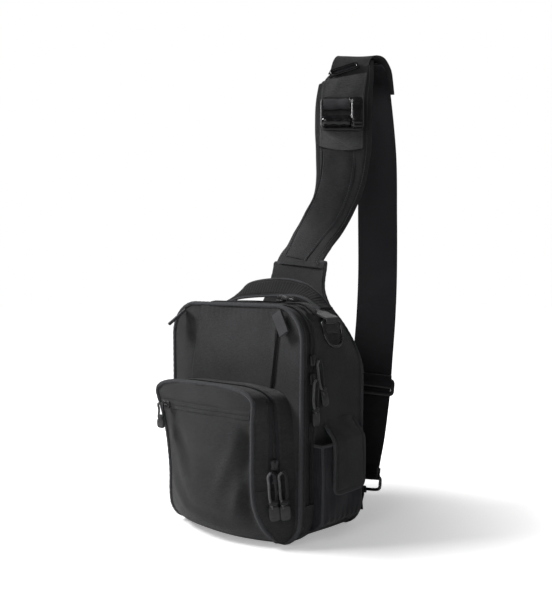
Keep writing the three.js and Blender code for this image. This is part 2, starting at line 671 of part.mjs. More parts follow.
function buildRearWebbing() {
  const width = () => strap.webbingWidth;
  const woven = weave.map(([away, over]) => [glide.share + away, over]);
  const [first, last] = [woven[0][0], woven[weave.length - 1][0]];
  const before = range(36).map((i) => [(first * i) / 36, 0]);
  const after = range(14).map((i) => [mix(last, 1, (i + 1) / 14), 0]);
  const stations = [...before, ...woven, ...after];
  const station = (share) => stations[Math.round(share * (stations.length - 1))];
  const route = (share) => webbingAlong(station(share)[0]);
  const lift = (share) => station(share)[1] * (glide.thick + webbingThick + 5 * clear);
  const shape = { width, thick: webbingThick, lift, steps: stations.length - 1 };
  add("rear_webbing", ribbon(route, shape), colours.webbing, 0.85);
  const plate = rectShape(glide.width, glide.height, 3);
  const slotHeight = (glide.height - 3 * glide.bar) / 2;
  const slotAt = (slotHeight + glide.bar) / 2;
  const slotWidth = glide.width - 2 * glide.side;
  [1, -1].forEach((sign) => plate.holes.push(slot(slotWidth, slotHeight, 0, sign * slotAt)));
  const front = webbingThick / 2 + 3 * clear;
  add("tri_glide", plateOn(webbingAlong, glide.share, front, 0, plate, glide.thick),
    colours.plastic, 0.4);
}

// A strip folded along a path drawn in the plane of `along` and `out`, as wide as `across` says.
function foldedStrip(frame, path, thick, width) {
  const points = path.map(([a, b]) => new THREE.Vector2(a, b));
  const sides = points.map((point, i) => {
    const before = points[Math.max(0, i - 1)];
    const after = points[Math.min(points.length - 1, i + 1)];
    const way = after.clone().sub(before).normalize().multiplyScalar(thick / 2);
    const [x, y] = [way.y, way.x];
    return [new THREE.Vector2(point.x - x, point.y + y), new THREE.Vector2(point.x + x, point.y - y)];
  });
  const ring = [...sides.map((pair) => pair[0]), ...sides.map((pair) => pair[1]).reverse()];
  return loft([-0.5, 0, 0.5].map((t) => ring.map(({ x, y }) => frame.at.clone()
    .addScaledVector(frame.along, x)
    .addScaledVector(frame.out, y)
    .addScaledVector(frame.across, t * width))));
}

// Points of an arc, as pairs.
function arcPoints(cx, cy, radius, from, to, steps) {
  return range(steps + 1).map((i) => {
    const angle = THREE.MathUtils.degToRad(mix(from, to, i / steps));
    return [cx + radius * Math.cos(angle), cy + radius * Math.sin(angle)];
  });
}

// The ring at the strap's lower end, with the webbing's folded end round its upper bar
// and the bag's tab round its lower bar.
function buildLowerEnd() {
  const end = webbingAlong(1);
  const legs = webbingThick + 5 * clear;
  const turnRadius = lowerRing.wire / 2 + 2 * clear + webbingThick / 2;
  const barAt = clear + turnRadius + lowerRing.wire / 2;
  const fold = arcPoints(barAt, 0, turnRadius, lowerRing.wrap, -lowerRing.wrap, 10);
  const path = [[-5, legs], [0, legs], ...fold, [0, -legs], [-5, -legs]];
  add("webbing_end", foldedStrip(end, path, webbingThick, strap.webbingWidth), colours.webbing);
  const [w, h, r] = [lowerRing.width / 2, lowerRing.height, lowerRing.corner];
  const corners = [
    [-w + r, r, 180, 270], [w - r, r, 270, 360], [w - r, h - r, 0, 90], [-w + r, h - r, 90, 180],
  ];
  const loop = corners.flatMap(([x, y, from, to]) => arcPoints(x, y, r, from, to, 3));
  const points = loop.map(([x, y]) => end.at.clone()
    .addScaledVector(end.across, x)
    .addScaledVector(end.along, barAt + y));
  add("lower_ring", wire(points, () => lowerRing.wire / 2, true, 6), colours.steel, 0.35, 0.8);
  const bar = end.at.clone().addScaledVector(end.along, barAt + h);
  const away = bar.y - clear - webbingThick / 2 - 2.2;
  const { across } = end;
  const along = vec(0, 0, -1).addScaledVector(across, across.z).normalize();
  const out = vec(0, 0, 0).crossVectors(along, across);
  if (out.y > 0) out.negate();
  const frame = { at: bar.clone().addScaledVector(across, lowerRing.tabAside), along, out, across };
  const turn = arcPoints(0, 0, turnRadius, 50, 310, 10);
  const tab = [[24, away], [14, away], [6, 3.6], ...turn, [5, -2.4]];
  add("lower_tab", foldedStrip(frame, tab, webbingThick, lowerRing.tabWidth), colours.webbing);
}

// The grab handle over the top, its face turned forward in the middle.
const handleRows = [
  { x: -0.72, rise: -0.9, lean: 8 },
  { x: -0.6, rise: 7, lean: 30 },
  { x: -0.42, rise: 15.5, lean: 52 },
  { x: -0.12, rise: 19.5, lean: 62 },
  { x: 0.18, rise: 20, lean: 58 },
  { x: 0.42, rise: 17, lean: 36 },
  { x: 0.6, rise: 9, lean: 16 },
  { x: 0.73, rise: -1.2, lean: 2 },
  { x: 0.79, rise: -5.2, lean: 0 },
];

function buildHandle() {
  const y = frontFace + handle.behindFront;
  const points = handleRows.map((row) => vec(row.x * body.halfTop, y, body.height + row.rise));
  const curve = new THREE.CatmullRomCurve3(points, false, "centripetal");
  const table = handleRows.map((row, i) => ({ ...row, share: i / (handleRows.length - 1) }));
  const steps = 20;
  add("grab_handle", loft(range(steps + 1).map((i) => {
    const share = i / steps;
    const lean = THREE.MathUtils.degToRad(read(table, "share", "lean", share));
    const along = curve.getTangent(share);
    const across = vec(0, Math.cos(lean), Math.sin(lean));
    across.addScaledVector(along, -across.dot(along)).normalize();
    const out = vec(0, 0, 0).crossVectors(along, across);
    return cushion.map(([a, b]) => curve.getPoint(share)
      .addScaledVector(across, a * handle.width)
      .addScaledVector(out, b * handle.thick));
  })), colours.cloth);
}

// The D-ring on the right side, leaning on the wall, and the tab that carries its bar.
const wallAt = (y, z) => halfWidth(z, depthShare(y));
const dRingHeight = body.height - dRing.below;
const dRingBar = vec(0, frontFace + dRing.behindFront, dRingHeight);
dRingBar.x = wallAt(dRingBar.y - dRing.tabWidth / 2, dRingHeight) + dRing.wire / 2
  + 2 * webbingThick + 4 * clear;

function buildDRing() {
  const lean = THREE.MathUtils.degToRad(dRing.lean);
  const down = vec(Math.sin(lean), 0, -Math.cos(lean));
  const half = dRing.across / 2 - dRing.wire / 2;
  const reach = dRing.drop - dRing.wire / 2;
  const arc = range(13).map((i) => {
    const angle = (Math.PI * i) / 12;
    const side = Math.cos(angle);
    return [half * Math.sign(side) * Math.abs(side) ** 0.8, reach * Math.sin(angle) ** 0.8];
  });
  const bar = [-0.5, 0, 0.5].map((t) => [t * 2 * half * 0.8, 0]);
  const points = [...arc, ...bar].map(([y, d]) => dRingBar.clone()
    .addScaledVector(down, d).add(vec(0, y, 0)));
  add("d_ring", wire(points, () => dRing.wire / 2, true, 6), colours.steel, 0.3, 0.9);
  const radius = dRing.wire / 2 + clear + 0.2 + webbingThick / 2;
  const seat = (z) => wallAt(dRingBar.y - dRing.tabWidth / 2, z) + clear + webbingThick / 2 + 0.5;
  const [over, under] = [dRingHeight + 9, dRingHeight - 6];
  const local = (x, z) => [z - dRingHeight, x - dRingBar.x];
  const path = [local(seat(over) - 3, over + 2.4), local(seat(over) + 1, over + 0.4),
    ...arcPoints(0, 0, radius, 10, 170, 8),
    local(seat(under) + 0.6, under), local(seat(under - 7), under - 7)];
  const frame = { at: dRingBar, along: vec(0, 0, 1), out: vec(1, 0, 0), across: vec(0, 1, 0) };
  add("d_ring_tab", foldedStrip(frame, path, webbingThick, dRing.tabWidth), colours.webbing);
}

// The flapped pouch on the right side: its wall, its bottom and the flap over it.
function buildPouch() {
  const [front, back] = [frontFace + pouch.behindFront, -pouch.back];
  const wall = (z) => wallAt((front + back) / 2, z) + 2 * clear;
  const levels = [0, 0.06, 0.12, 0.18, 0.25, 0.5, 0.75, 1].map((t) => mix(pouch.bottom, pouch.top, t));
  const up = (z) => (z - pouch.bottom) / (pouch.top - pouch.bottom);
  const deepAt = (z) => pouch.deep * (0.86 + 0.14 * Math.sin(Math.PI * up(z)));
  const ring = (z, inner) => {
    const inset = inner ? cloth : 0;
    const x = wall(z);
    const out = x + deepAt(z) - inset;
    return [vec(x, front + inset, z), vec(out - 3, front + inset, z), vec(out, front + 3 + inset, z),
      vec(out, back - 3 - inset, z), vec(out - 3, back - inset, z), vec(x, back - inset, z)];
  };
  const walls = levels.map((z) => [...ring(z, false), ...ring(z, true).reverse()]);
  add("side_pouch", loft(walls), colours.lining);
  const floor = [pouch.bottom - clear - cloth, pouch.bottom - clear];
  add("pouch_bottom", loft(floor.map((z) => ring(z, false))), colours.lining);
  buildFlap();
}

function buildFlap() {
  const y = -(flap.front + flap.back) / 2;
  const x = wallAt(y, flap.top) + clear;
  const out = pouch.deep + 2 * clear + flap.thick / 2;
  const drop = flap.top - flap.bottom;
  const path = [[0, flap.thick / 2], [7, flap.thick / 2 + 0.6], [15, out * 0.5], [23, out * 0.9],
    [30, out + 0.6], [0.6 * drop, out + 1.2], [0.85 * drop, out + 0.7], [drop, out + 0.2]];
  const at = vec(x, y, flap.top);
  const frame = { at, along: vec(0, 0, -1), out: vec(1, 0, 0), across: vec(0, 1, 0) };
  add("pouch_flap", foldedStrip(frame, path, flap.thick, flap.front - flap.back), colours.cloth);
}

// Zip sliders and their cord pulls.
function basis(at, up, out) {
  const across = vec(0, 0, 0).crossVectors(up, out).normalize();
  return new THREE.Matrix4().makeBasis(across, up, out).setPosition(at);
}

function addSlider(name, at, up, out) {
  const shape = rectShape(slider.width, slider.length, 2);
  const settings = { depth: slider.thick, bevelEnabled: false, curveSegments: 2 };
  const geometry = new THREE.ExtrudeGeometry(shape, settings);
  add(name, geometry.applyMatrix4(basis(at, up, out)), colours.plastic, 0.35);
}

// A loop of cord with a thicker moulded end, hanging from `from` towards `to`.
function addPull(name, from, to, out) {
  const along = vec(0, 0, 0).subVectors(to, from);
  const length = along.length();
  along.normalize();
  const across = vec(0, 0, 0).crossVectors(along, out).normalize();
  const half = pull.width / 2 - pull.cord;
  const round = [...arcPoints(0, length - half - pull.end, half, 0, 180, 6),
    ...arcPoints(0, half + pull.cord, half, 180, 360, 6)];
  const sides = [0.66, 0.5].map((t) => t * length);
  const points = [...sides.slice().reverse().map((d) => [half, d]), ...round.slice(0, 7),
    ...sides.map((d) => [-half, d]), ...round.slice(7)];
  const radius = points.map(([, d]) => mix(pull.cord, pull.end, smooth((d / length - 0.66) / 0.06)));
  const placed = points.map(([a, d]) => (
    from.clone().addScaledVector(across, a).addScaledVector(along, d)));
  add(name, wire(placed, (i) => radius[i], true, 5), colours.plastic, 0.5);
}

function buildMainPulls() {
  const y = (zipFront + zipBack) / 2;
  const surface = (z) => wallAt(y, z) + mainZip.ridge + clear;
  const hang = (z, at, stand) => vec(surface(z) + stand + pull.end, at, z);
  const sliders = [{ name: "upper", from: y + 8.6, to: y + 24 }, { name: "lower", from: y, to: y + 6 }];
  sliders.forEach(({ name, from, to }) => {
    const z = body.height - mainSliders[name];
    addSlider(`main_slider_${name}`, vec(surface(z), y, z), vec(0, 0, 1), vec(1, 0, 0));
    const start = hang(z + 1, from, name === "upper" ? 1 : slider.thick);
    addPull(`main_pull_${name}`, start, hang(z + 1 - pull.length, to, 0.4), vec(1, 0, 0));
  });
}

function buildPocketPulls() {
  const places = pocketPlaces();
  const place = places[5];
  const at = (distance, z, lift) => {
    const low = places[3];
    const share = (z - low.face.z) / (place.face.z - low.face.z);
    return vec(0, 0, 0).lerpVectors(low.face, place.face, share)
      .addScaledVector(place.deep, distance)
      .addScaledVector(place.skin, lift);
  };
  const on = mainZip.ridge + clear + 0.4;
  const up = vec(0, 0, 1).addScaledVector(place.skin, -place.skin.z).normalize();
  const zip = pocket.zipBehindFace;
  const top = pocket.height - pocketSliders.pull;
  [["upper", -1], ["lower", 1]].forEach(([name, sign]) => {
    const z = pocket.height - pocketSliders[name];
    addSlider(`pocket_slider_${name}`, at(zip, z, on), up, place.skin);
    const aside = zip + sign * pocketSliders.aside;
    const start = at(aside, top, on + slider.thick + 3 * clear + pull.cord);
    const end = at(aside, top - pull.length, on + pull.end + 2);
    addPull(`pocket_pull_${name}`, start, end, place.skin);
  });
}

function buildFrontPull(rows) {
  const at = frontZipPlace(rows, 1, 0, frontZip.lift + frontZip.ridge + clear + 1.9);
  addSlider("front_slider", vec(at.x + 5.5, at.y, at.z), vec(1, 0, 0), vec(0, -1, 0));
  const y = at.y - slider.thick - clear - pull.cord;
  const start = vec(at.x - 0.5, y, at.z + 3);
  const end = vec(start.x - 1, y + 1, start.z - pull.shortLength);
  addPull("front_pull", start, end, vec(0, -1, 0));
}

// The second zip, laid over the top of the bag, with its slider and pull.
function buildTopZip() {
  const y = frontFace + topZip.behindFront;
  const [near, far] = [y - topZip.width / 2, y + topZip.width / 2];
  const { tape, coil, sliderAt } = topZip;
  const section = [[near, tape], [y - 3, tape], [y - 2, coil], [y + 2, coil], [y + 3, tape],
    [far, tape], [far, 0], [near, 0]];
  const lines = section.map(([at, grow]) => outline(at, grow + clear));
  const from = body.height - topZip.below;
  const run = range(lines[0].length).filter((i) => lines[0][i].z > from);
  add("top_zip", loft(run.map((i) => lines.map((line) => line[i]))), colours.lining, 0.8);
  const top = body.height + coil + 2 * clear;
  addSlider("top_slider", vec(sliderAt, y, top), vec(1, 0, 0), vec(0, 0, 1));
  const lift = slider.thick + 5 * clear + pull.cord;
  const start = vec(sliderAt - 3, y - 1, top + lift);
  const end = vec(start.x + pull.shortLength, y - 3, top + pull.end + 0.4);
  addPull("top_pull", start, end, vec(0, 0, 1));
}

// Main assembly.
buildBody();
buildFrontPanel();
buildBack();
buildPocket();
buildPocketPulls();
buildCornerTabs();
buildMainPulls();
buildTopZip();
buildHandle();
buildDRing();
buildPouch();
buildShoulderPad();
buildBuckle();
buildRearWebbing();
buildLowerEnd();

bag.position.copy(apex).negate();
const group = new THREE.Group();
group.add(bag);

export default group;
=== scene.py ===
import math

import bpy
import mathutils
import numpy as np
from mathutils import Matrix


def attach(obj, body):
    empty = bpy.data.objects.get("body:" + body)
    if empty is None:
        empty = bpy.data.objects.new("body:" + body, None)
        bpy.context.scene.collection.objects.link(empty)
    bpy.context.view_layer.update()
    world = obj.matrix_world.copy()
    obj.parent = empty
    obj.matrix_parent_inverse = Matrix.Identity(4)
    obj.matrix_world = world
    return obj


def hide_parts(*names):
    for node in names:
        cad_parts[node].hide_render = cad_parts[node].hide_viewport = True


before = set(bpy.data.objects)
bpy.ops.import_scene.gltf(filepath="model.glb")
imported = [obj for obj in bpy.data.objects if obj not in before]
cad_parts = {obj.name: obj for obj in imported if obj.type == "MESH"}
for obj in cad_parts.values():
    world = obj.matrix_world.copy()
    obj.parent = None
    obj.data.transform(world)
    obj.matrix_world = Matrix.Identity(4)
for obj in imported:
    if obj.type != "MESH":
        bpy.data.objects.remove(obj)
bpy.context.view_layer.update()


# The studio: a level camera to the right of the bag's front, a pale floor under it, and soft
# lights. The camera's place and the frame's centre come from the photograph, whose picture is
# 552 by 599, with the camera's own level line above the middle.
picture = (552, 599)
level_line = 271.5
focal_pixels = 825.0
sensor = 36.0
strap_fold = np.array([43.0, 77.0, 611.5])
camera_place, camera_turn = [727.6, -858.7, 321.0], 42.0


def to_row(points):
    """Millimetres from the bag's foot, middle and back to metres from the strap's fold."""
    return (np.asarray(points, float) - strap_fold) / 1000.0


camera_data = bpy.data.cameras.new("camera")
camera_data.sensor_width = sensor
camera_data.lens = focal_pixels * sensor / max(picture)
camera_data.shift_y = (level_line - picture[1] / 2) / max(picture)
camera = bpy.data.objects.new("camera", camera_data)
camera.location = to_row(camera_place)
camera.rotation_euler = (math.radians(90), 0, math.radians(camera_turn))
bpy.context.scene.collection.objects.link(camera)
bpy.context.scene.camera = camera


def add_light(name, place, aim, size, power):
    """A square soft light that faces a point."""
    data = bpy.data.lights.new(name, "AREA")
    data.size = size
    data.energy = power
    light = bpy.data.objects.new(name, data)
    start, end = to_row(place), to_row(aim)
    light.location = start
    way = mathutils.Vector(end - start)
    light.rotation_euler = way.to_track_quat("-Z", "Y").to_euler()
    bpy.context.scene.collection.objects.link(light)


bag_middle = [0, -70, 200]
add_light("key", [-900, -1050, 1350], bag_middle, 0.6, 34)
add_light("front", [450, -1500, 900], [0, 0, 500], 0.8, 5)
add_light("side", [1500, -150, 900], bag_middle, 1.0, 0.8)
add_light("back", [300, 1300, 900], bag_middle, 1.4, 2.5)

world = bpy.data.worlds.new("studio")
world.use_nodes = True
bpy.context.scene.world = world
sky = world.node_tree.nodes["Background"]
sky.inputs["Color"].default_value = (1.0, 1.0, 1.0, 1.0)
ray = world.node_tree.nodes.new("ShaderNodeLightPath")
glow = world.node_tree.nodes.new("ShaderNodeMapRange")
glow.inputs["To Min"].default_value = 0.06
glow.inputs["To Max"].default_value = 1.0
world.node_tree.links.new(ray.outputs["Is Camera Ray"], glow.inputs["Value"])
world.node_tree.links.new(glow.outputs["Result"], sky.inputs["Strength"])
bpy.context.scene.view_settings.view_transform = "Standard"


def add_node(tree, kind, values=None, **settings):
    """A shader node with its settings, and its sockets set to values or linked to sockets."""
    made = tree.nodes.new(kind)
    for key, value in settings.items():
        setattr(made, key, value)
    for key, value in (values or {}).items():
        if isinstance(value, bpy.types.NodeSocket):
            tree.links.new(value, made.inputs[key])
        else:
            made.inputs[key].default_value = value
    return made


def new_material(name, roughness, **sockets):
    """A material with its Principled shader's plain values set on its own sockets."""
    material = bpy.data.materials.new(name)
    material.use_nodes = True
    shader = material.node_tree.nodes["Principled BSDF"]
    shader.inputs["Roughness"].default_value = roughness
    for key, value in sockets.items():
        shader.inputs[key.replace("_", " ")].default_value = value
    return material, material.node_tree, shader


floor_material, floor_tree, floor_shader = new_material("pale floor", 0.9)
floor_spot = add_node(floor_tree, "ShaderNodeTexCoord")
floor_noise = add_node(floor_tree, "ShaderNodeTexNoise", {"Vector": floor_spot.outputs["Object"],
                                                          "Scale": 2.0})
floor_tone = add_node(floor_tree, "ShaderNodeMapRange", {
    "Value": floor_noise.outputs["Fac"], "To Min": 0.9, "To Max": 0.94})
floor_tree.links.new(floor_tone.outputs["Result"], floor_shader.inputs["Base Color"])
floor_foot = to_row([0, -70, 0])
floor_away = add_node(floor_tree, "ShaderNodeVectorMath", {0: floor_spot.outputs["Object"], 1: floor_foot},
                      operation="DISTANCE")
floor_fade = add_node(floor_tree, "ShaderNodeMapRange", {
    "Value": floor_away.outputs["Value"], "From Min": 0.12, "From Max": 0.5, "To Min": 0.35},
    interpolation_type="SMOOTHSTEP")
floor_ray = add_node(floor_tree, "ShaderNodeLightPath")
floor_glow = add_node(floor_tree, "ShaderNodeMath", {0: floor_fade.outputs["Result"],
                                                     1: floor_ray.outputs["Is Camera Ray"]},
                      operation="MULTIPLY")
floor_shader.inputs["Emission Color"].default_value = (1.0, 1.0, 1.0, 1.0)
floor_tree.links.new(floor_glow.outputs[0], floor_shader.inputs["Emission Strength"])
floor_mesh = bpy.data.meshes.new("floor")
floor_reach, floor_level = 6000.0, -1.0
floor_square = [(-1, -1), (1, -1), (1, 1), (-1, 1)]
floor_corners = [[x * floor_reach, y * floor_reach, floor_level] for x, y in floor_square]
floor_mesh.from_pydata(to_row(floor_corners), [], [(0, 1, 2, 3)])
floor = bpy.data.objects.new("floor", floor_mesh)
floor.data.materials.append(floor_material)
bpy.context.scene.collection.objects.link(floor)


# The charcoal cloth of the whole shell: a coated nylon in a fine plain weave, with slubs that
# run with the weft, a little lint, and a faint bloom at grazing angles. Its threads follow each
# panel's own map, which is in metres.
def weave_group():
    """Crossing threads as a height, and slubs along the weft as a tone, from a flat map."""
    tree = bpy.data.node_groups.new("plain weave", "ShaderNodeTree")
    tree.interface.new_socket("Map", in_out="INPUT", socket_type="NodeSocketVector")
    tree.interface.new_socket("Threads", in_out="INPUT", socket_type="NodeSocketFloat")
    tree.interface.new_socket("Height", in_out="OUTPUT", socket_type="NodeSocketFloat")
    tree.interface.new_socket("Tone", in_out="OUTPUT", socket_type="NodeSocketFloat")
    come = add_node(tree, "NodeGroupInput")
    away = add_node(tree, "NodeGroupOutput")
    scaled = add_node(tree, "ShaderNodeVectorMath", {0: come.outputs["Map"],
                                                     "Scale": come.outputs["Threads"]},
                      operation="SCALE")
    parts = add_node(tree, "ShaderNodeSeparateXYZ", {0: scaled.outputs["Vector"]})

    def calc(operation, first, second=0.0):
        return add_node(tree, "ShaderNodeMath", {0: first, 1: second}, operation=operation).outputs[0]

    warp = calc("ABSOLUTE", calc("SINE", calc("MULTIPLY", parts.outputs["X"], math.pi)))
    weft = calc("ABSOLUTE", calc("SINE", calc("MULTIPLY", parts.outputs["Y"], math.pi)))
    over = calc("PINGPONG", calc("ADD", calc("FLOOR", parts.outputs["X"]),
                                 calc("FLOOR", parts.outputs["Y"])), 1.0)
    lifted = add_node(tree, "ShaderNodeMix", {"Factor": over, 2: warp, 3: weft})
    stretch = add_node(tree, "ShaderNodeVectorMath", {0: scaled.outputs["Vector"], 1: (0.11, 0.75, 1.0)},
                       operation="MULTIPLY")
    slub = add_node(tree, "ShaderNodeTexNoise", {"Vector": stretch.outputs["Vector"], "Scale": 1.0,
                                                 "Detail": 3.0, "Roughness": 0.65})
    tree.links.new(lifted.outputs[0], away.inputs["Height"])
    tree.links.new(slub.outputs["Fac"], away.inputs["Tone"])
    return tree


plain_weave = weave_group()


def cloth_material(name, colour, threads, contrast=0.5, depth=0.00025, roughness=0.88, bloom=0.12):
    """Woven cloth: the colour goes from darker to lighter with slubs and broad soft patches."""
    material, tree, shader = new_material(name, roughness, Sheen_Weight=bloom, Sheen_Roughness=0.45,
                                          Specular_IOR_Level=0.28)
    flat = add_node(tree, "ShaderNodeUVMap", uv_map="cloth")
    weave = add_node(tree, "ShaderNodeGroup", node_tree=plain_weave)
    tree.links.new(flat.outputs["UV"], weave.inputs["Map"])
    weave.inputs["Threads"].default_value = threads
    spot = add_node(tree, "ShaderNodeTexCoord")
    patch = add_node(tree, "ShaderNodeTexNoise", {"Vector": spot.outputs["Object"], "Scale": 14.0,
                                                  "Detail": 4.0, "Roughness": 0.6})
    lint = add_node(tree, "ShaderNodeTexNoise", {"Vector": spot.outputs["Object"], "Scale": 700.0,
                                                 "Detail": 1.0})
    mixed = add_node(tree, "ShaderNodeMath", {0: weave.outputs["Tone"], 1: patch.outputs["Fac"]},
                     operation="ADD")
    flecked = add_node(tree, "ShaderNodeMath", {0: lint.outputs["Fac"], 1: 0.5, 2: mixed.outputs[0]},
                       operation="MULTIPLY_ADD")
    share = add_node(tree, "ShaderNodeMapRange", {"Value": flecked.outputs[0], "From Min": 0.9,
                                                  "From Max": 1.6})
    dark = [channel * (1 - contrast / 2) for channel in colour]
    light = [channel * (1 + contrast / 2) for channel in colour]
    tone = add_node(tree, "ShaderNodeMix", {"Factor": share.outputs["Result"], 6: (*dark, 1),
                                            7: (*light, 1)},
                    data_type="RGBA")
    tree.links.new(tone.outputs[2], shader.inputs["Base Color"])
    bump = add_node(tree, "ShaderNodeBump", {"Height": weave.outputs["Height"], "Strength": 0.5,
                                             "Distance": depth})
    tree.links.new(bump.outputs["Normal"], shader.inputs["Normal"])
    return material


shell_cloth = cloth_material("shell cloth", (0.027, 0.027, 0.0285), 1300.0, contrast=0.9)


def smooth(share):
    """A rise from 0 to 1 that starts and ends level."""
    t = np.clip(share, 0.0, 1.0)
    return t * t * (3 - 2 * t)


def mix(a, b, share):
    """From a to b by a share."""
    return a + (b - a) * share


def unit(vectors):
    """The same directions at length 1."""
    return vectors / np.maximum(np.linalg.norm(vectors, axis=-1, keepdims=True), 1e-9)


def slopes(grid, axis, ring):
    """Differences between a grid's neighbours along an axis, across the join where it is a ring."""
    if ring:
        return np.roll(grid, -1, axis) - np.roll(grid, 1, axis)
    return np.gradient(grid, axis=axis)


def normals_of(grid, ring):
    """The way out of a grid's surface at each point."""
    return unit(np.cross(slopes(grid, 1, ring[1]), slopes(grid, 0, ring[0])))


def add_object(name, mesh, material, body, replaced=()):
    """A piece in the scene with its finish, that rides on a body and stands for CAD nodes."""
    piece = bpy.data.objects.new(name, mesh)
    mesh.materials.append(material)
    mesh.polygons.foreach_set("use_smooth", np.ones(len(mesh.polygons), bool))
    mesh.set_sharp_from_angle(angle=math.radians(48))
    bpy.context.scene.collection.objects.link(piece)
    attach(piece, body)
    if replaced:
        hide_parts(*replaced)
    return piece


def skin_mesh(name, grid, ring=(False, False), wall=0.0, lift=None, centre=None, caps=False):
    """A surface through rows and columns of points, in millimetres. lift moves it along its own
    normal, and wall gives it an inner face that far behind and a rim round its open edges.
    centre is a place behind it, which says which way is out, and caps close a tube's ends. Its
    map is the length along its rows and columns, in metres, with no squeeze where a ring joins."""
    grid = np.asarray(grid, float)
    out = normals_of(grid, ring)
    middle = grid.reshape(-1, 3).mean(0) if centre is None else np.asarray(centre, float)
    turned = np.sum(out * (grid - middle)) < 0
    if turned:
        out = -out
    if lift is not None:
        grid = grid + out * lift[..., None]
        out = normals_of(grid, ring) * (-1 if turned else 1)
    rows, columns = grid.shape[:2]
    a, b = np.meshgrid(np.arange(rows if ring[0] else rows - 1),
                       np.arange(columns if ring[1] else columns - 1), indexing="ij")
    corners = [(a, b), (a, b + 1), (a + 1, b + 1), (a + 1, b)]
    if turned:
        corners.reverse()

    def number(pair):
        return (pair[0] % rows) * columns + pair[1] % columns

    wide = (columns + 1) if ring[1] else columns
    tall = (rows + 1) if ring[0] else rows
    full = np.take(np.take(grid, np.arange(tall) % rows, 0), np.arange(wide) % columns, 1)
    step_u = np.linalg.norm(np.diff(full, axis=1), axis=-1)
    step_v = np.linalg.norm(np.diff(full, axis=0), axis=-1)
    u = np.concatenate([np.zeros((tall, 1)), np.cumsum(step_u, 1)], 1)
    v = np.concatenate([np.zeros((1, wide)), np.cumsum(step_v, 0)], 0)
    u = u - u[:, [wide // 2]]
    flat = np.stack([u, v], -1) / 1000.0
    quads = np.stack([number(pair) for pair in corners], -1).reshape(-1, 4)
    maps = np.stack([flat[pair[0], pair[1]] for pair in corners], -2).reshape(-1, 2)
    faces = [quads]
    loops = [maps]
    vertices = grid.reshape(-1, 3)
    if wall:
        inner = (grid - out * wall).reshape(-1, 3)
        offset = len(vertices)
        vertices = np.concatenate([vertices, inner])
        faces.append(quads[:, ::-1] + offset)
        loops.append(maps.reshape(-1, 4, 2)[:, ::-1].reshape(-1, 2))
        borders = []
        row_numbers = np.arange(rows)
        column_numbers = np.arange(columns)
        if not ring[0]:
            borders += [(column_numbers, 0 * column_numbers),
                        (column_numbers[::-1], 0 * column_numbers + rows - 1)]
        if not ring[1]:
            borders += [(0 * row_numbers, row_numbers[::-1]), (0 * row_numbers + columns - 1, row_numbers)]
        for place, (c, r) in enumerate(borders):
            edge = r * columns + c
            closed = ring[1] if place < 2 and not ring[0] else ring[0]
            near, far = (edge, np.roll(edge, -1)) if closed else (edge[:-1], edge[1:])
            strip = np.stack([far, near, near + offset, far + offset], -1)
            if turned:
                strip = strip[:, ::-1]
            faces.append(strip)
            map_near = flat[r, c]
            map_far = np.roll(map_near, -1, 0) if closed else map_near[1:]
            map_near = map_near if closed else map_near[:-1]
            depth = np.array([0.0, wall / 1000.0])
            four = [map_far, map_near, map_near + depth, map_far + depth]
            if turned:
                four.reverse()
            loops.append(np.stack(four, -2).reshape(-1, 2))
    mesh = bpy.data.meshes.new(name)
    polygons = [face for group in faces for face in group.tolist()]
    uv = [np.concatenate(loops)]
    if caps:
        first = list(range(columns))
        last = [(rows - 1) * columns + c for c in range(columns)]
        ends = [first, last[::-1]] if turned else [first[::-1], last]
        polygons += ends
        for end in ends:
            spot = vertices[end]
            uv.append((spot[:, :2] - spot[:, :2].mean(0)) / 1000.0)
    mesh.from_pydata(to_row(vertices), [], polygons)
    layer = mesh.uv_layers.new(name="cloth")
    layer.data.foreach_set("uv", np.concatenate(uv).astype(np.float32).ravel())
    return mesh


def add_skin(name, grid, material, slot, replaced=(), body="bag", **shape):
    """A piece made of one surface."""
    return add_object(name, skin_mesh(name, grid, **shape), material, body, replaced)


waves = np.random.default_rng(11)


def ripples(points, size, depth, count=9):
    """Soft uneven waves in space: a sum of sines in chance directions, at about one size."""
    ways = unit(waves.normal(size=(count, 3))) * (2 * math.pi / size) * waves.uniform(0.6, 1.5, (count, 1))
    phases = waves.uniform(0, 2 * math.pi, count)
    total = np.sin(points @ ways.T + phases).sum(-1)
    return depth * total / math.sqrt(count)


# The body's edge: round lower corners, and upper corners that change from round at the front
# to long cut shoulders at the wearer's side. Every band of the shell follows it.
height = 280.0
front_face, back_face = -129.0, -11.0
half_top, half_bottom = 112.0, 108.0
corner_low, corner_high = 32.0, 42.0
shoulder_across, shoulder_down = 66.0, 82.0
shoulder_bend = 1.38


def edge_sizes(depth, grow):
    """The corner's sizes at a depth, and how square its curve is."""
    share = (np.asarray(depth, float) - front_face) / (back_face - front_face)
    late = smooth(share) * share
    across = mix(corner_high, shoulder_across, late) + grow
    down = mix(corner_high, shoulder_down, late) + grow
    return across, down, mix(2.0, shoulder_bend, late)


def half_at(z, grow=0.0):
    """Half the width of the straight side at a height."""
    return mix(half_bottom, half_top, z / height) + grow


def half_width(z, depth, grow=0.0):
    """Half the body's width at a height and a depth, corners included."""
    across, down, power = edge_sizes(depth, grow)
    low = corner_low + grow
    rise = np.clip((z - height - grow + down) / down, 0, 1)
    fall = np.clip((-grow + low - z) / low, 0, 1)
    upper = across * (1 - (1 - rise ** power) ** (1 / power))
    lower = low * (1 - np.sqrt(1 - fall ** 2))
    return half_at(z, grow) - upper - lower


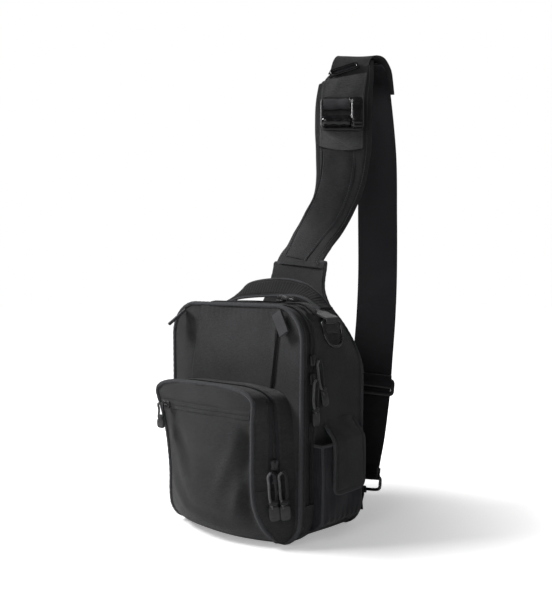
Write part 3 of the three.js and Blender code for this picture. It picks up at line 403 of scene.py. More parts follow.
def edge(depth, grow=0.0):
    """The closed edge at a depth: bottom, corner, side, shoulder and top, then the same back."""
    across, down, power = edge_sizes(depth, grow)
    low = corner_low + grow
    top, bottom = height + grow, -grow
    foot_x = np.linspace(0, 1, 25)[:-1] * (half_at(bottom, grow) - low)
    turn = np.linspace(0, math.pi / 2, 17)[:-1]
    corner_z = bottom + low * (1 - np.cos(turn))
    corner_x = half_at(corner_z, grow) - low + low * np.sin(turn)
    side_z = np.linspace(bottom + low, top - down, 57)[:-1]
    bend = np.linspace(0, math.pi / 2, 29)
    shoulder_z = top - down + down * np.sin(bend) ** (2 / power)
    shoulder_x = half_at(shoulder_z, grow) - across + across * np.cos(bend).clip(0) ** (2 / power)
    crown_x = np.linspace(1, 0, 19)[1:-1] * shoulder_x[-1]
    x = np.concatenate([foot_x, corner_x, half_at(side_z, grow), shoulder_x, crown_x])
    z = np.concatenate([0 * foot_x + bottom, corner_z, side_z, shoulder_z, 0 * crown_x + top])
    right = np.stack([x, 0 * x + depth, z], -1)
    left = right[1:][::-1] * [-1, 1, 1]
    return np.concatenate([right, [[0, depth, top]], left])


def bands(depths, grows):
    """Edges at several depths as the rows of a grid."""
    return np.stack([edge(d, g) for d, g in zip(depths, np.broadcast_to(grows, len(depths)))])


def puckers(length, away, pitch, depth, reach=9.0):
    """Small gathers that a seam pulls into cloth: waves along it that die away from it."""
    uneven = length / pitch + 0.8 * np.sin(length / (pitch * 3.7))
    return depth * np.sin(2 * math.pi * uneven) * np.exp(-np.abs(away) / reach)


def run_lengths(grid, axis=1):
    """How far along its own line each point of a grid lies."""
    steps = np.linalg.norm(np.diff(grid, axis=axis), axis=-1)
    pad = [(0, 0)] * steps.ndim
    pad[axis] = (1, 0)
    return np.cumsum(np.pad(steps, pad), axis)


# The side walls: a narrow strip in front of the main zip and a wide gusset behind it, of the same cloth, each
# turned in along the zip with a lip.
piping_radius = 2.2
zip_front, zip_back = -121.0, -106.0
gusset_end = -14.0

front_strip_depths = np.array([-129.5, -128.5, -127, -125.5, -124, -122.6, -121.4, -120.6, -120.5, -121.0])
front_strip_grow = np.array([-1.6, -0.2, 0.5, 0.7, 0.6, 0.7, 0.6, 0.0, -0.8, -1.4])
add_skin("front_gusset_cloth", bands(front_strip_depths, front_strip_grow), shell_cloth, "shell_cloth",
         ["front_gusset"], ring=(False, True), wall=0.9, centre=[0, -125, 140])

inner_share = np.linspace(0, 1, 44)
rear_depths = np.concatenate([[zip_back + 0.6, zip_back, zip_back + 0.2, zip_back + 1.0],
                              mix(zip_back + 2.2, gusset_end, inner_share)])
rear_grow = np.concatenate([[-1.4, -0.7, 0.3, 0.8], 0.7 * np.exp(-inner_share * 30)])
rear_grid = bands(rear_depths, rear_grow)
rear_away = np.abs(rear_grid[..., 1] - zip_back)
rear_lift = ripples(rear_grid, 95.0, 0.9) + puckers(run_lengths(rear_grid), rear_away, 11.0, 0.35)
belly = np.sin(math.pi * (rear_grid[..., 1] - zip_back) / (gusset_end - zip_back)).clip(0)
rear_lift += 1.6 * belly * smooth((rear_grid[..., 2] - 20) / 60)
rear_lift *= smooth(rear_away / 12) * smooth(np.abs(rear_grid[..., 1] - gusset_end) / 12)
add_skin("rear_gusset_cloth", rear_grid, shell_cloth, "shell_cloth", ["rear_gusset"],
         ring=(False, True), wall=1.0, lift=rear_lift, centre=[0, -60, 140])


# The front panel: one piece of cloth, slightly padded, with a pleat folded down each side above
# the pocket, so that its middle stands proud of its edges. It is cut to the body's edge.
crown_of_front = 5.0
crease_heights = [176.0, 276.0]
crease_right = [66.0, 77.0]
crease_left = [-74.0, -58.0]
fold_step = 1.0
pleat_rise, pleat_run, pleat_hollow = 2.4, 17.0, 7.0
pleat_foot, pleat_head = 165.0, 262.0


def body_front(x, z):
    """How far forward the front stands: its crown, and a sharp step down at each pleat."""
    half = half_width(z, front_face)
    across = 1 - np.clip(np.abs(x) / half, 0, 1) ** 2.4
    crown = crown_of_front * across * np.sin(math.pi * np.clip(z / height, 0, 1))
    stand = crown
    for line, side in [(crease_right, 1), (crease_left, -1)]:
        away = (x - np.interp(z, crease_heights, line)) * side
        fade = smooth((z - pleat_foot) / 30) * (1 - 0.5 * smooth((z - pleat_head) / 18))
        roll = np.where(away < 0, pleat_rise * np.exp(np.minimum(away, 0) / pleat_run),
                        -pleat_rise * np.exp(-np.maximum(away, 0) / pleat_hollow))
        stand = stand + fade * roll
    return front_face - stand


edge_points = edge(front_face, -piping_radius + 0.8)
right_side = edge_points[:len(edge_points) // 2 + 1]
climb = right_side[24:-17]
panel_z = climb[:, 2]
panel_half = climb[:, 0]
left_line = np.maximum(np.interp(panel_z, crease_heights, crease_left), -panel_half + 6)
right_line = np.minimum(np.interp(panel_z, crease_heights, crease_right), panel_half - 6)
stations = [(-panel_half, left_line - fold_step, 14), (left_line - fold_step, left_line, 4),
            (left_line, left_line + fold_step, 4), (left_line + fold_step, right_line - fold_step, 60),
            (right_line - fold_step, right_line, 4), (right_line, right_line + fold_step, 4),
            (right_line + fold_step, panel_half, 15)]
panel_x = np.concatenate([mix(a[:, None], b[:, None], np.linspace(0, 1, n)[None]) for a, b, n in stations], 1)
panel_zz = np.broadcast_to(panel_z[:, None], panel_x.shape)
front_grid = np.stack([panel_x, body_front(panel_x, panel_zz), panel_zz], -1)
panel_away = panel_half[:, None] - np.abs(panel_x)
panel_top = height - panel_zz
front_lift = ripples(front_grid, 80.0, 0.55) + puckers(panel_zz, panel_away, 10.0, 0.3)
front_lift += puckers(panel_x, panel_top, 9.0, 0.35)
front_lift *= smooth(panel_away / 8)
add_skin("front_panel_cloth", front_grid, shell_cloth, "shell_cloth", ["front_panel"], wall=1.2,
         lift=front_lift, centre=[0, -60, 140])


# The corded edges: a bias strip sewn round a cord, along the front panel's edge, the pocket's
# edge and, flatter, the back panel's edge. Its cloth is drawn into fine slanting gathers.
bias_cloth = cloth_material("bias cloth", (0.047, 0.048, 0.052), 1300.0, contrast=0.45)
gather_step, gather_pitch, gather_depth = 1.6, 7.3, 0.045


def carry(path, reference, profile, ring=False):
    """A profile carried along a path. Its first axis is the reference, laid square to the path,
    and its second is square to both. profile is (sides, 2) or (stations, sides, 2)."""
    path = np.asarray(path, float)
    along = unit(slopes(path, 0, ring))
    reference = np.broadcast_to(np.asarray(reference, float), path.shape)
    first = unit(reference - along * np.sum(reference * along, -1, keepdims=True))
    second = np.cross(along, first)
    profile = np.broadcast_to(profile, (len(path), *np.shape(profile)[-2:]))
    return (path[:, None] + first[:, None] * profile[..., [0]] + second[:, None] * profile[..., [1]])


def round_profile(radius, sides=14, flat=1.0):
    """A circle of points, or an oval."""
    turn = np.linspace(0, 2 * math.pi, sides + 1)[:-1]
    radius = np.asarray(radius, float)[..., None]
    return np.stack([radius * np.cos(turn), radius * flat * np.sin(turn)], -1)


def resample(path, step, ring=False):
    """Points a fixed step apart along a path."""
    path = np.asarray(path, float)
    line = np.concatenate([path, path[:1]]) if ring else path
    lengths = np.concatenate([[0], np.cumsum(np.linalg.norm(np.diff(line, axis=0), axis=1))])
    count = max(4, round(lengths[-1] / step))
    at = np.linspace(0, lengths[-1], count + 1)[:count if ring else None]
    return np.stack([np.interp(at, lengths, line[:, k]) for k in range(3)], -1)


def add_rod(name, path, reference, profile, material, slot, nodes=(), ring=False, body="bag"):
    """One piece of a profile carried along a path, with its ends closed unless they join."""
    return add_skin(name, carry(path, reference, profile, ring), material, slot, nodes, body=body,
                    ring=(ring, True), caps=not ring)


def corded_edge(name, path, node, ring, radius):
    """A round edge whose radius rises and falls in fine gathers that slant round it."""
    line = resample(path, gather_step, ring)
    run = np.arange(len(line))[:, None] * gather_step
    turn = np.linspace(0, 2 * math.pi, 15)[:-1]
    gather = 1 + gather_depth * np.sin(2 * math.pi * run / gather_pitch + turn + 1.3 * np.sin(run / 31))
    profile = np.stack([np.cos(turn) * radius * gather, np.sin(turn) * radius * gather], -1)
    add_rod(name, line, (0, 1, 0), profile, bias_cloth, "binding", [node], ring)


front_corded = edge(front_face, 0.0)
corded_edge("front_piping_cord", front_corded, "front_piping", True, radius=piping_radius + 0.3)


# The back panel: flat cloth against the wearer, carried up past the body as the yoke that the
# strap is sewn to, with a bound edge all round.
yoke_top = 333.0
neck_rises = [0.7, 0.86, 0.96, 1.01, 1.06, 1.125, 1.3]
neck_halves = [0.0, 1.582, 1.361, 1.251, 1.1, 1.03, 1.0]
neck_half, neck_aside = 43.5, 8.5


def back_half(z, grow=0.0):
    """Half the back panel's width: the body's own, or the yoke's where that is wider."""
    own = np.where(z < height + grow, half_width(np.minimum(z, height + grow), back_face, grow), 0)
    neck = np.interp(z / height, neck_rises, neck_halves) * neck_half + grow
    return np.where(z > 0.84 * height, np.maximum(own, neck), own)


def rounded(values, times):
    """The same run of values with its corners eased."""
    for _ in range(times):
        values = np.concatenate([values[:1], (values[:-2] + 2 * values[1:-1] + values[2:]) / 4,
                                 values[-1:]])
    return values


def neck_shift(z):
    """How far the yoke's middle stands aside from the bag's own."""
    return neck_aside * smooth((z / height - 1.036) / 0.16)


back_z = np.concatenate([corner_low * (1 - np.cos(np.linspace(0, math.pi / 2, 16))),
                         np.linspace(corner_low, yoke_top, 96)[1:]])
back_edge_half = np.concatenate([back_half(back_z[:16]), rounded(back_half(back_z[16:]), 6)])
back_shares = np.linspace(-1, 1, 49)
back_grid = np.stack([neck_shift(back_z)[:, None] + back_shares[None] * back_edge_half[:, None],
                      np.full((len(back_z), len(back_shares)), back_face - 2.4),
                      np.broadcast_to(back_z[:, None], (len(back_z), len(back_shares)))], -1)
add_skin("back_panel_cloth", back_grid, shell_cloth, "shell_cloth", ["back_panel"], wall=-1.6,
         lift=ripples(back_grid, 70.0, 0.35), centre=[0, 60, 140])
back_right, back_left = [np.stack([neck_shift(back_z) + side * back_edge_half,
                                   np.full(len(back_z), back_face - 1.0), back_z], -1) for side in (1, -1)]
back_path = np.concatenate([back_right, back_left[::-1]])
corded_edge("back_binding_edge", back_path, "back_binding", True, radius=2.4)


# The front pocket: a cloth face that bellies out low down, on a gusset that makes it a box. Its
# edge is a closed run of places, each a corner of the face and a place on the body behind it.
pocket_height, pocket_half, pocket_base_half, pocket_depth = 186.0, 84.0, 97.0, 54.0
pocket_crown, pocket_belly = 9.0, 19.0
pocket_up = np.array([0.018, 0.05, 0.13, 0.24, 0.35, 0.47, 0.635, 0.79, 0.87, 0.92, 0.958, 0.985, 1.0])
pocket_face_share = np.array([0.94, 0.985, 0.94, 0.875, 0.845, 0.85, 0.88, 0.93, 0.975, 0.99, 0.93, 0.77,
                              0.52])
pocket_deep = np.array([0.14, 0.34, 0.58, 0.72, 0.76, 0.785, 0.83, 0.91, 0.96, 0.985, 1.0, 1.0, 1.0])
pocket_base = np.array([0.86, 0.95, 1.02, 1.045, 1.045, 1.04, 1.025, 1.0, 0.975, 0.94, 0.87, 0.72, 0.5])
pocket_base_up = np.array([0.018, 0.05, 0.13, 0.24, 0.35, 0.47, 0.63, 0.77, 0.85, 0.9, 0.94, 0.97, 0.985])


def spline(points, count, ring=False):
    """A smooth curve through points, evenly spread along its length (Catmull and Rom's curve)."""
    points = np.asarray(points, float)
    last = len(points) - 1
    if ring:
        around = np.concatenate([points[-1:], points, points[:2]])
        last = len(points)
    else:
        around = np.concatenate([2 * points[:1] - points[1:2], points, 2 * points[-1:] - points[-2:-1]])
    fine = np.linspace(0, last, 24 * last + 1)
    k = np.minimum(fine.astype(int), last - 1)
    t = (fine - k)[:, None]
    a, b, c, d = (around[k + i] for i in range(4))
    curve = 0.5 * (2 * b + (c - a) * t + (2 * a - 5 * b + 4 * c - d) * t ** 2 + (3 * b - a - 3 * c + d)
                   * t ** 3)
    lengths = np.concatenate([[0], np.cumsum(np.linalg.norm(np.diff(curve[:, :3], axis=0), axis=1))])
    at = np.linspace(0, lengths[-1], count + 1 if ring else count)[:count]
    return np.stack([np.interp(at, lengths, curve[:, i]) for i in range(curve.shape[1])], -1)


def pocket_line():
    """The right half of the pocket's edge from its foot to its top's middle, then the left:
    columns 0 to 2 are the face's corner, and 3 to 5 the place on the body."""
    face_x = np.append(pocket_face_share, [0.26, 0.0]) * pocket_half
    base_x = np.append(pocket_base, [0.25, 0.0]) * pocket_base_half
    face_z = np.append(pocket_up, [1.0, 1.0]) * pocket_height
    base_z = np.append(pocket_base_up, [0.988, 0.988]) * pocket_height
    face_y = front_face - np.append(pocket_deep, [1.0, 1.0]) * pocket_depth
    base_y = body_front(base_x, base_z) + 0.6
    right = np.stack([face_x, face_y, face_z, base_x, base_y, base_z], -1)
    left = right[:-1][::-1] * [-1, 1, 1, -1, 1, 1]
    return spline(np.concatenate([right, left]), 300)


pocket_edge = pocket_line()
pocket_face_edge, pocket_base_edge = pocket_edge[:, :3], pocket_edge[:, 3:]


def pocket_swell(share, up):
    """How far the pocket's face stands out: a fuller belly low down, flatter at the top."""
    low = pocket_belly * smooth(1 - up / 0.55)
    middle = pocket_crown * smooth(up / 0.5) * (1 - 0.6 * smooth((up - 0.6) / 0.4))
    return (1 - np.abs(share) ** 2.2) * (low + middle)


# The face is a grid of heights and shares of its width; below its foot it turns under to the
# body. Its own slack shows as soft folds that run down and out from the zip's ends.
half_count = len(pocket_face_edge) // 2
face_right = pocket_face_edge[:half_count]
face_rows = np.linspace(0, half_count - 1, 110).astype(int)
face_corner = face_right[face_rows]
face_share = np.sin(np.linspace(-1, 1, 101) * math.pi / 2) * 0.35 + np.linspace(-1, 1, 101) * 0.65
face_x = face_share[None] * face_corner[:, [0]]
face_up = face_corner[:, [2]] / pocket_height
face_y = face_corner[:, [1]] - pocket_swell(face_share[None], face_up)
face_z = np.broadcast_to(face_corner[:, [2]], face_x.shape)
face_grid = np.stack([face_x, face_y, face_z], -1)
under_share = np.linspace(0, 1, 14)[:-1, None]
foot_row = face_grid[0]
under_y = mix(front_face + 1.0, foot_row[:, 1], np.sin(under_share * math.pi / 2) ** 0.8)
under_z = mix(0.6, foot_row[:, 2], 1 - np.cos(under_share * math.pi / 2))
under_grid = np.stack([np.broadcast_to(foot_row[:, 0], under_y.shape), under_y, under_z], -1)
face_grid = np.concatenate([under_grid, face_grid])
full_up = face_grid[..., 2] / pocket_height
side_away = np.abs(np.abs(face_grid[..., 0]) - np.interp(face_grid[..., 2], face_corner[:, 2],
                                                         face_corner[:, 0]))


def soft_fold(grid, start, end, width, depth):
    """A rounded fold between two places across and up a surface: a bell curve across it, less a
    lower one beside it, that fades at both ends."""
    start, end = np.array(start, float), np.array(end, float)
    way = end - start
    length = np.linalg.norm(way)
    way = way / length
    spot = grid[..., [0, 2]] - start
    along = spot @ way
    aside = spot @ np.array([-way[1], way[0]])
    fade = smooth(along / (0.3 * length)) * smooth((length - along) / (0.45 * length))
    return depth * fade * (np.exp(-(aside / width) ** 2) - 0.7
                           * np.exp(-((aside - 1.6 * width) / width) ** 2))


face_lift = ripples(face_grid, 75.0, 0.8) + puckers(face_grid[..., 2], side_away, 10.0, 0.45)
for start, end, width, depth in [((60, 140), (12, 40), 9, 2.0), ((72, 110), (40, 22), 7, 1.8),
                                 ((-64, 138), (-30, 52), 9, 1.5), ((-70, 70), (-20, 20), 8, 1.4),
                                 ((-40, 30), (50, 16), 7, 1.5)]:
    face_lift += soft_fold(face_grid, start, end, width, depth)
face_lift *= smooth(side_away / 9) * smooth((face_grid[..., 2] - 2) / 12)
hollow_away, hollow_depth, hollow_foot, hollow_head = 9.0, 7.5, 14.0, 148.0
beside_edge = np.exp(-((side_away - hollow_away) / hollow_away) ** 2) * smooth(face_grid[..., 0] / 20)
face_lift -= (hollow_depth * beside_edge * smooth((hollow_head - face_grid[..., 2]) / 25)
              * smooth((face_grid[..., 2] - hollow_foot) / 30))
front_zip_height, front_zip_half, front_zip_sunk = 156.0, 6.3, 1.3
groove = np.exp(-((face_grid[..., 2] - front_zip_height) / front_zip_half) ** 6)
face_lift -= front_zip_sunk * groove * (side_away > 4)
add_skin("pocket_face_cloth", face_grid, shell_cloth, "shell_cloth", ["pocket_face"], wall=1.2,
         lift=face_lift, centre=[0, -120, 90])
corded_edge("pocket_piping_cord", pocket_face_edge, "pocket_piping", False, radius=piping_radius + 0.4)


# The gusset: cloth strips in front of and behind the pocket's zip, which stops short of the
# foot, where the strips join in one piece below a seam.
pocket_zip_near, pocket_zip_far = 21.0, 33.0
pocket_zip_foot = 66.0
gusset_way = pocket_base_edge - pocket_face_edge
gusset_length = np.linalg.norm(gusset_way, axis=1)


def gusset_grid(near, far, count, run):
    """The gusset between two distances from the face, and those distances on its grid."""
    share = np.linspace(0, 1, count)
    start = np.broadcast_to(near, gusset_length.shape)[run, None]
    end = np.broadcast_to(far, gusset_length.shape)[run, None]
    distance = mix(start, end, share)
    grid = pocket_face_edge[run, None] + unit(gusset_way)[run, None] * distance[..., None]
    return grid, distance


above = np.nonzero(pocket_face_edge[:, 2] > pocket_zip_foot)[0]
zip_run = slice(above[0], above[-1] + 1)
pocket_centre = [0, -150, 90]
for label, near, far, count in [("front", 0.0, pocket_zip_near, 16),
                                ("rear", pocket_zip_far, gusset_length + 1.5, 18)]:
    grid, distance = gusset_grid(near, far, count, zip_run)
    edge_near, edge_far = distance - distance[:, [0]], distance[:, [-1]] - distance
    gathers = puckers(run_lengths(grid, 0), edge_near, 10.0, 0.3)
    lift = 0.9 * smooth(np.minimum(edge_near, edge_far) / 2.2) + gathers
    lift += ripples(grid, 60.0, 0.8) * smooth(np.minimum(edge_near, edge_far) / 6)
    add_skin(f"pocket_gusset_{label}_cloth", grid, shell_cloth, "shell_cloth", [f"pocket_gusset_{label}"],
             wall=1.0, lift=lift, centre=pocket_centre)
for side, run in [("right", slice(0, above[0] + 1)), ("left", slice(above[-1], None))]:
    grid, distance = gusset_grid(0.0, gusset_length + 1.5, 34, run)
    lift = 0.9 + ripples(grid, 45.0, 1.1)
    add_skin(f"pocket_foot_{side}_cloth", grid, shell_cloth, "shell_cloth", [f"pocket_gusset_low_{side}"],
             wall=1.0, lift=lift, centre=pocket_centre)


# The zips: a woven tape on each side of a covered coil. The coil's turns are moulded of black
# plastic, and its two rows of turns mesh along the middle of the strip.
tape_and_shade_cloth = cloth_material("zip tape and painted shade", (0.017, 0.017, 0.02), 1700.0, contrast=0.4, roughness=0.8)
coil_plastic, coil_tree, coil_shader = new_material("zip coil", 0.42, Specular_IOR_Level=0.5)
coil_spot = add_node(coil_tree, "ShaderNodeTexCoord")
coil_grain = add_node(coil_tree, "ShaderNodeTexNoise", {"Vector": coil_spot.outputs["Object"],
                                                        "Scale": 900.0})
coil_tone = add_node(coil_tree, "ShaderNodeMix", {"Factor": coil_grain.outputs["Fac"],
                                                  6: (0.010, 0.010, 0.012, 1),
                                                  7: (0.028, 0.028, 0.031, 1)}, data_type="RGBA")
coil_tree.links.new(coil_tone.outputs[2], coil_shader.inputs["Base Color"])


def scatter_mesh(name, vertices, faces, places, first, second, third):
    """Many copies of a small shape in one mesh, each in its own axes at its own place."""
    vertices = np.asarray(vertices, float)
    count = len(places)
    spread = (places[:, None] + first[:, None] * vertices[None, :, [0]] + second[:, None]
              * vertices[None, :, [1]]
              + third[:, None] * vertices[None, :, [2]])
    numbers = np.array(faces)[None] + np.arange(count)[:, None, None] * len(vertices)
    mesh = bpy.data.meshes.new(name)
    mesh.from_pydata(to_row(spread.reshape(-1, 3)), [], numbers.reshape(-1, 4).tolist())
    return mesh


def bead(length, width, thick, rings=4):
    """A small rounded grain: rings of six points on a sphere's curve, with its poles closed."""
    sides = 6
    turn = np.linspace(0, 2 * math.pi, sides + 1)[:-1]
    climb = np.linspace(0, math.pi, rings + 1)
    radius = np.sin(climb).clip(0.02)
    x = -np.cos(climb)[:, None] * length / 2 + 0 * turn
    y = radius[:, None] * np.cos(turn) * width / 2
    z = radius[:, None] * np.sin(turn) * thick / 2
    points = np.stack([x, y, z], -1).reshape(-1, 3)
    faces = [(r * sides + s, r * sides + (s + 1) % sides, (r + 1) * sides + (s + 1) % sides,
              (r + 1) * sides + s)
             for r in range(rings) for s in range(sides)]
    faces += [(0, 1, 2, 3), (0, 3, 4, 5)]
    last = rings * sides
    faces += [(last + 3, last + 2, last + 1, last), (last + 5, last + 4, last + 3, last)]
    return points, [face[::-1] for face in faces]


def add_zip(name, grid, out, node, coil_pitch=1.3, coil_wide=4.4):
    """A zip laid on a strip: rows run along it and columns across it. The tape is the strip
    itself, and the coil is a run of turns on its middle."""
    add_skin(f"{name}_tape", grid, tape_and_shade_cloth, "zip", [node], wall=0.8, centre=out)
    middle = grid[:, grid.shape[1] // 2]
    line = resample(middle, coil_pitch)
    along = unit(slopes(line, 0, False))
    width = unit(np.stack([np.interp(np.linspace(0, 1, len(line)), np.linspace(0, 1, len(grid)),
                                     (grid[:, -1] - grid[:, 0])[:, k]) for k in range(3)], -1))
    raise_way = unit(np.cross(along, width))
    inside = np.asarray(out, float)
    raise_way *= np.sign(np.sum(raise_way * (line - inside)))
    points, faces = bead(coil_wide, coil_pitch * 0.92, 1.5)
    mesh = scatter_mesh(f"{name}_coil", points, faces, line + raise_way * 0.35, width, along, raise_way)
    mesh.uv_layers.new(name="cloth")
    add_object(f"{name}_coil", mesh, coil_plastic, "bag")


main_zip_foot = 46.0
full_edge = edge(front_face)
rise_start = int(np.argmax((full_edge[:, 0] > 0) & (full_edge[:, 2] > main_zip_foot)))
over_run = slice(rise_start, len(full_edge) - rise_start + 1)
zip_depths = np.linspace(zip_front - 0.4, zip_back + 0.4, 9)
zip_grow = [-1.2, -0.9, -0.7, -0.5, -0.4, -0.5, -0.7, -0.9, -1.2]
zip_grid = np.swapaxes(bands(zip_depths, zip_grow)[:, over_run], 0, 1)
add_zip("main_zip", zip_grid, [0, -113, 140], "main_zip", coil_wide=5.0)
under_numbers = np.arange(len(full_edge) - rise_start, len(full_edge) + rise_start + 1) % len(full_edge)
under_depths = np.linspace(zip_front - 1.0, zip_back + 1.4, 10)
under_grow = [-0.6, 0.5, 0.8, 0.9, 0.9, 0.9, 0.9, 0.8, 0.5, -0.6]
under_band = np.swapaxes(bands(under_depths, under_grow)[:, under_numbers], 0, 1)
add_skin("bottom_gusset_cloth", under_band, shell_cloth, "shell_cloth", ["bottom_gusset"], wall=1.0,
         lift=ripples(under_band, 60.0, 0.5), centre=[0, -113, 140])

strip, _ = gusset_grid(pocket_zip_near - 0.6, pocket_zip_far + 0.6, 9, zip_run)
add_zip("pocket_zip", strip, pocket_centre, "pocket_zip", coil_wide=4.0)


# The pocket's own zip lies turned over: its tapes show as a strip of the shell's grey, sunk along
# two seams, with a fine slit between them over the coil.
front_zip_share = np.linspace(-0.95, 0.95, 150)
zip_across = np.linspace(-1, 1, 33)
front_zip_z = front_zip_height + zip_across * (front_zip_half - 0.9)
zip_x_half = np.interp(front_zip_z, face_corner[:, 2], face_corner[:, 0])
zip_face_y = np.interp(front_zip_z, face_corner[:, 2], face_corner[:, 1])
zip_stand = 0.9 * (1 - zip_across ** 6) - 0.7 * np.exp(-(zip_across / 0.07) ** 2) - 0.5
front_zip_grid = np.stack([
    front_zip_share[:, None] * zip_x_half,
    zip_face_y - pocket_swell(front_zip_share[:, None], front_zip_z / pocket_height) - zip_stand,
    np.broadcast_to(front_zip_z, (len(front_zip_share), len(front_zip_z)))], -1)
add_skin("pocket_front_zip_cover", front_zip_grid, shell_cloth, "zip", ["pocket_front_zip"], wall=0.8,
         lift=ripples(front_zip_grid, 22.0, 0.2) * (1 - zip_across ** 4), centre=[0, -100, 150])


# The shoulder strap: a foam pad in the shell's cloth, bound along both edges, that narrows
# towards the yoke and turns from facing the front to facing the wearer's side as it climbs.
# Its route is a list of given places: across, back, up, the turn of its width, its width.
pad_route = np.array([
    [8.5, -14, 328, 0, 87], [9.5, -11, 337, 0, 81], [13, -6, 347, 3, 72], [19, 2, 363, 13, 65],
    [28, 13, 385, 24, 61],
    [41, 20, 412, 32, 60], [48, 27, 446, 38, 67], [46.5, 34, 486, 41, 75], [40.5, 42, 530, 41, 77.5],
    [38.5, 48, 567, 41, 76], [41, 53, 592, 41, 72], [42, 57, 602, 41, 66]], float)
webbing_route = np.array([
    [34.5, 60.5, 594, 41], [37.5, 67, 607, 41], [43, 77, 613, 41], [42, 91, 607, 41], [41, 99, 592, 41],
    [46, 101, 560, 41], [52, 105, 480, 41], [48, 112, 400, 41], [47.5, 113, 320, 41], [50, 105, 255, 41],
    [58, 86, 200, 41], [68, 66, 160, 41], [77, 43, 115, 36], [84, 24, 77, 15], [86, 19, 60, 4]], float)


def bowed(values, power):
    """Values from -1 to 1 raised to a power with their signs kept: below 1 it squares a circle."""
    return np.sign(values) * np.abs(values) ** power


def strap_frames(route, count, facing, level=False):
    """Places along a strap with the way along it, the way across it, the way out and any widths.
    Across is square to the strap, or level, where the strap folds over on the slant."""
    line = spline(route, count)
    at = line[:, :3]
    along = unit(slopes(at, 0, False))
    turn = np.radians(line[:, 3])
    across = np.stack([np.cos(turn), np.sin(turn), 0 * turn], -1)
    square = smooth((613.0 - at[:, [2]]) / 60.0) if level else 1.0
    across = unit(across - along * np.sum(across * along, -1, keepdims=True) * square)
    return at, along, across, unit(np.cross(across, along)) * facing, line[:, 4:]


def on_strap(frames, across, out):
    """Places beside a strap's middle: across is along its width and out off its face."""
    at, _, side, face, _ = frames
    return at[:, None] + side[:, None] * across[..., None] + face[:, None] * out[..., None]


def tilted(frames, tilt):
    """The same places with the way across turned up at its far side by a slope."""
    at, along, side, _, widths = frames
    side = unit(side + np.stack([0 * tilt, 0 * tilt, tilt], -1))
    facing = np.sign(np.sum(np.cross(frames[2], along) * frames[3], -1, keepdims=True))
    return at, along, side, unit(np.cross(side, along)) * facing, widths


pad_frames = strap_frames(pad_route, 200, 1, level=True)
fold_tilt = 0.36
pad_frames = tilted(pad_frames, fold_tilt * smooth((pad_frames[0][:, 2] - 570.0) / 26.0))
pad_width = pad_frames[4][:, 0]
pad_share = np.linspace(0, 1, 200)
pad_half_thick = 4.6 * (1 - 0.45 * smooth((pad_share - 0.93) / 0.07))
around = np.linspace(0, 2 * math.pi, 73)[:-1]
pad_across = bowed(np.cos(around), 0.55)
pad_out = bowed(np.sin(around), 0.75)
band = smooth((np.abs(pad_across) - 0.8) / 0.05)
pad_groove = 0.16 * np.exp(-((np.abs(pad_across) - 0.83) / 0.03) ** 2)
pad_section = pad_out * (1 - 0.28 * band) - pad_groove * pad_out
pad_grid = on_strap(pad_frames, pad_across[None] * pad_width[:, None] / 2,
                    pad_section[None] * pad_half_thick[:, None])
pad_lift = ripples(pad_grid, 42.0, 0.5)
pad_piece = add_skin("shoulder_pad_cloth", pad_grid, shell_cloth, "shell_cloth", ["shoulder_pad"],
                     ring=(False, True), caps=True, lift=pad_lift)


def strap_strip(name, first, last, width, shift, lift, thick, puff, material, slot, nodes,
                frames=pad_frames, steps=25, bow=0.0):
    """A strip of cloth sewn on a strap: flat along its stitched edges and puffed between them. A
    bow curves its first edge, the sides further on than the middle."""
    run = slice(round(first * (len(frames[0]) - 1)), round(last * (len(frames[0]) - 1)) + 1)
    part = tuple(values[run] for values in frames)
    share = np.linspace(-1, 1, steps)
    half = np.interp(np.linspace(0, 1, len(part[0])), [0, 1], np.broadcast_to(width, 2)) / 2
    across = share[None] * half[:, None] + shift
    rise = lift + puff * (1 - np.abs(share[None]) ** 3) + 0 * across
    grid = on_strap(part, across, rise)
    from_start = np.linalg.norm(part[0] - part[0][0], axis=1)
    grid = grid + part[1][:, None] * (bow * share[None] ** 2 * np.exp(-from_start[:, None] / 12))[..., None]
    extra = ripples(grid, 26.0, 0.28) * (1 - np.abs(share) ** 6)
    return add_skin(name, grid, material, slot, nodes, wall=thick, lift=extra,
                    centre=part[0].mean(0) - 40 * part[3].mean(0))


cover_cloth = cloth_material("cover cloth", (0.066, 0.066, 0.067), 1150.0, contrast=0.9)
cover_from, cover_width, cover_aside, cover_bow = 0.583, 60.0, -3.0, 5.0
channel_aside = -6.0
strap_strip("strap_channel_cloth", 0.03, 0.6, (40.0, 45.0), channel_aside, 4.3, 1.0, 2.2,
            shell_cloth, "shell_cloth", ["strap_channel"])
strap_strip("strap_cover_cloth", cover_from, 0.95, cover_width, cover_aside, 5.2, 1.4, 2.2, cover_cloth,
            "shell_cloth", ["strap_cover"], steps=41, bow=cover_bow)


# Stitching: a lockstitch in thick polyester thread, each stitch a small bright-edged grain that sinks into
# the cloth at both ends. It runs along the strap's channel, cover and edges, along the belt's edges, and on
# the D-ring's tab.
thread, thread_tree, thread_shader = new_material("thread", 0.55, Sheen_Weight=0.2)
thread_spot = add_node(thread_tree, "ShaderNodeTexCoord")
thread_noise = add_node(thread_tree, "ShaderNodeTexNoise", {"Vector": thread_spot.outputs["Object"],
                                                            "Scale": 300.0})
thread_tone = add_node(thread_tree, "ShaderNodeMix", {"Factor": thread_noise.outputs["Fac"],
                                                      6: (0.030, 0.030, 0.033, 1),
                                                      7: (0.075, 0.075, 0.08, 1)},
                       data_type="RGBA")
thread_tree.links.new(thread_tone.outputs[2], thread_shader.inputs["Base Color"])
stitch_points, stitch_faces = bead(2.7, 0.75, 0.6, rings=3)


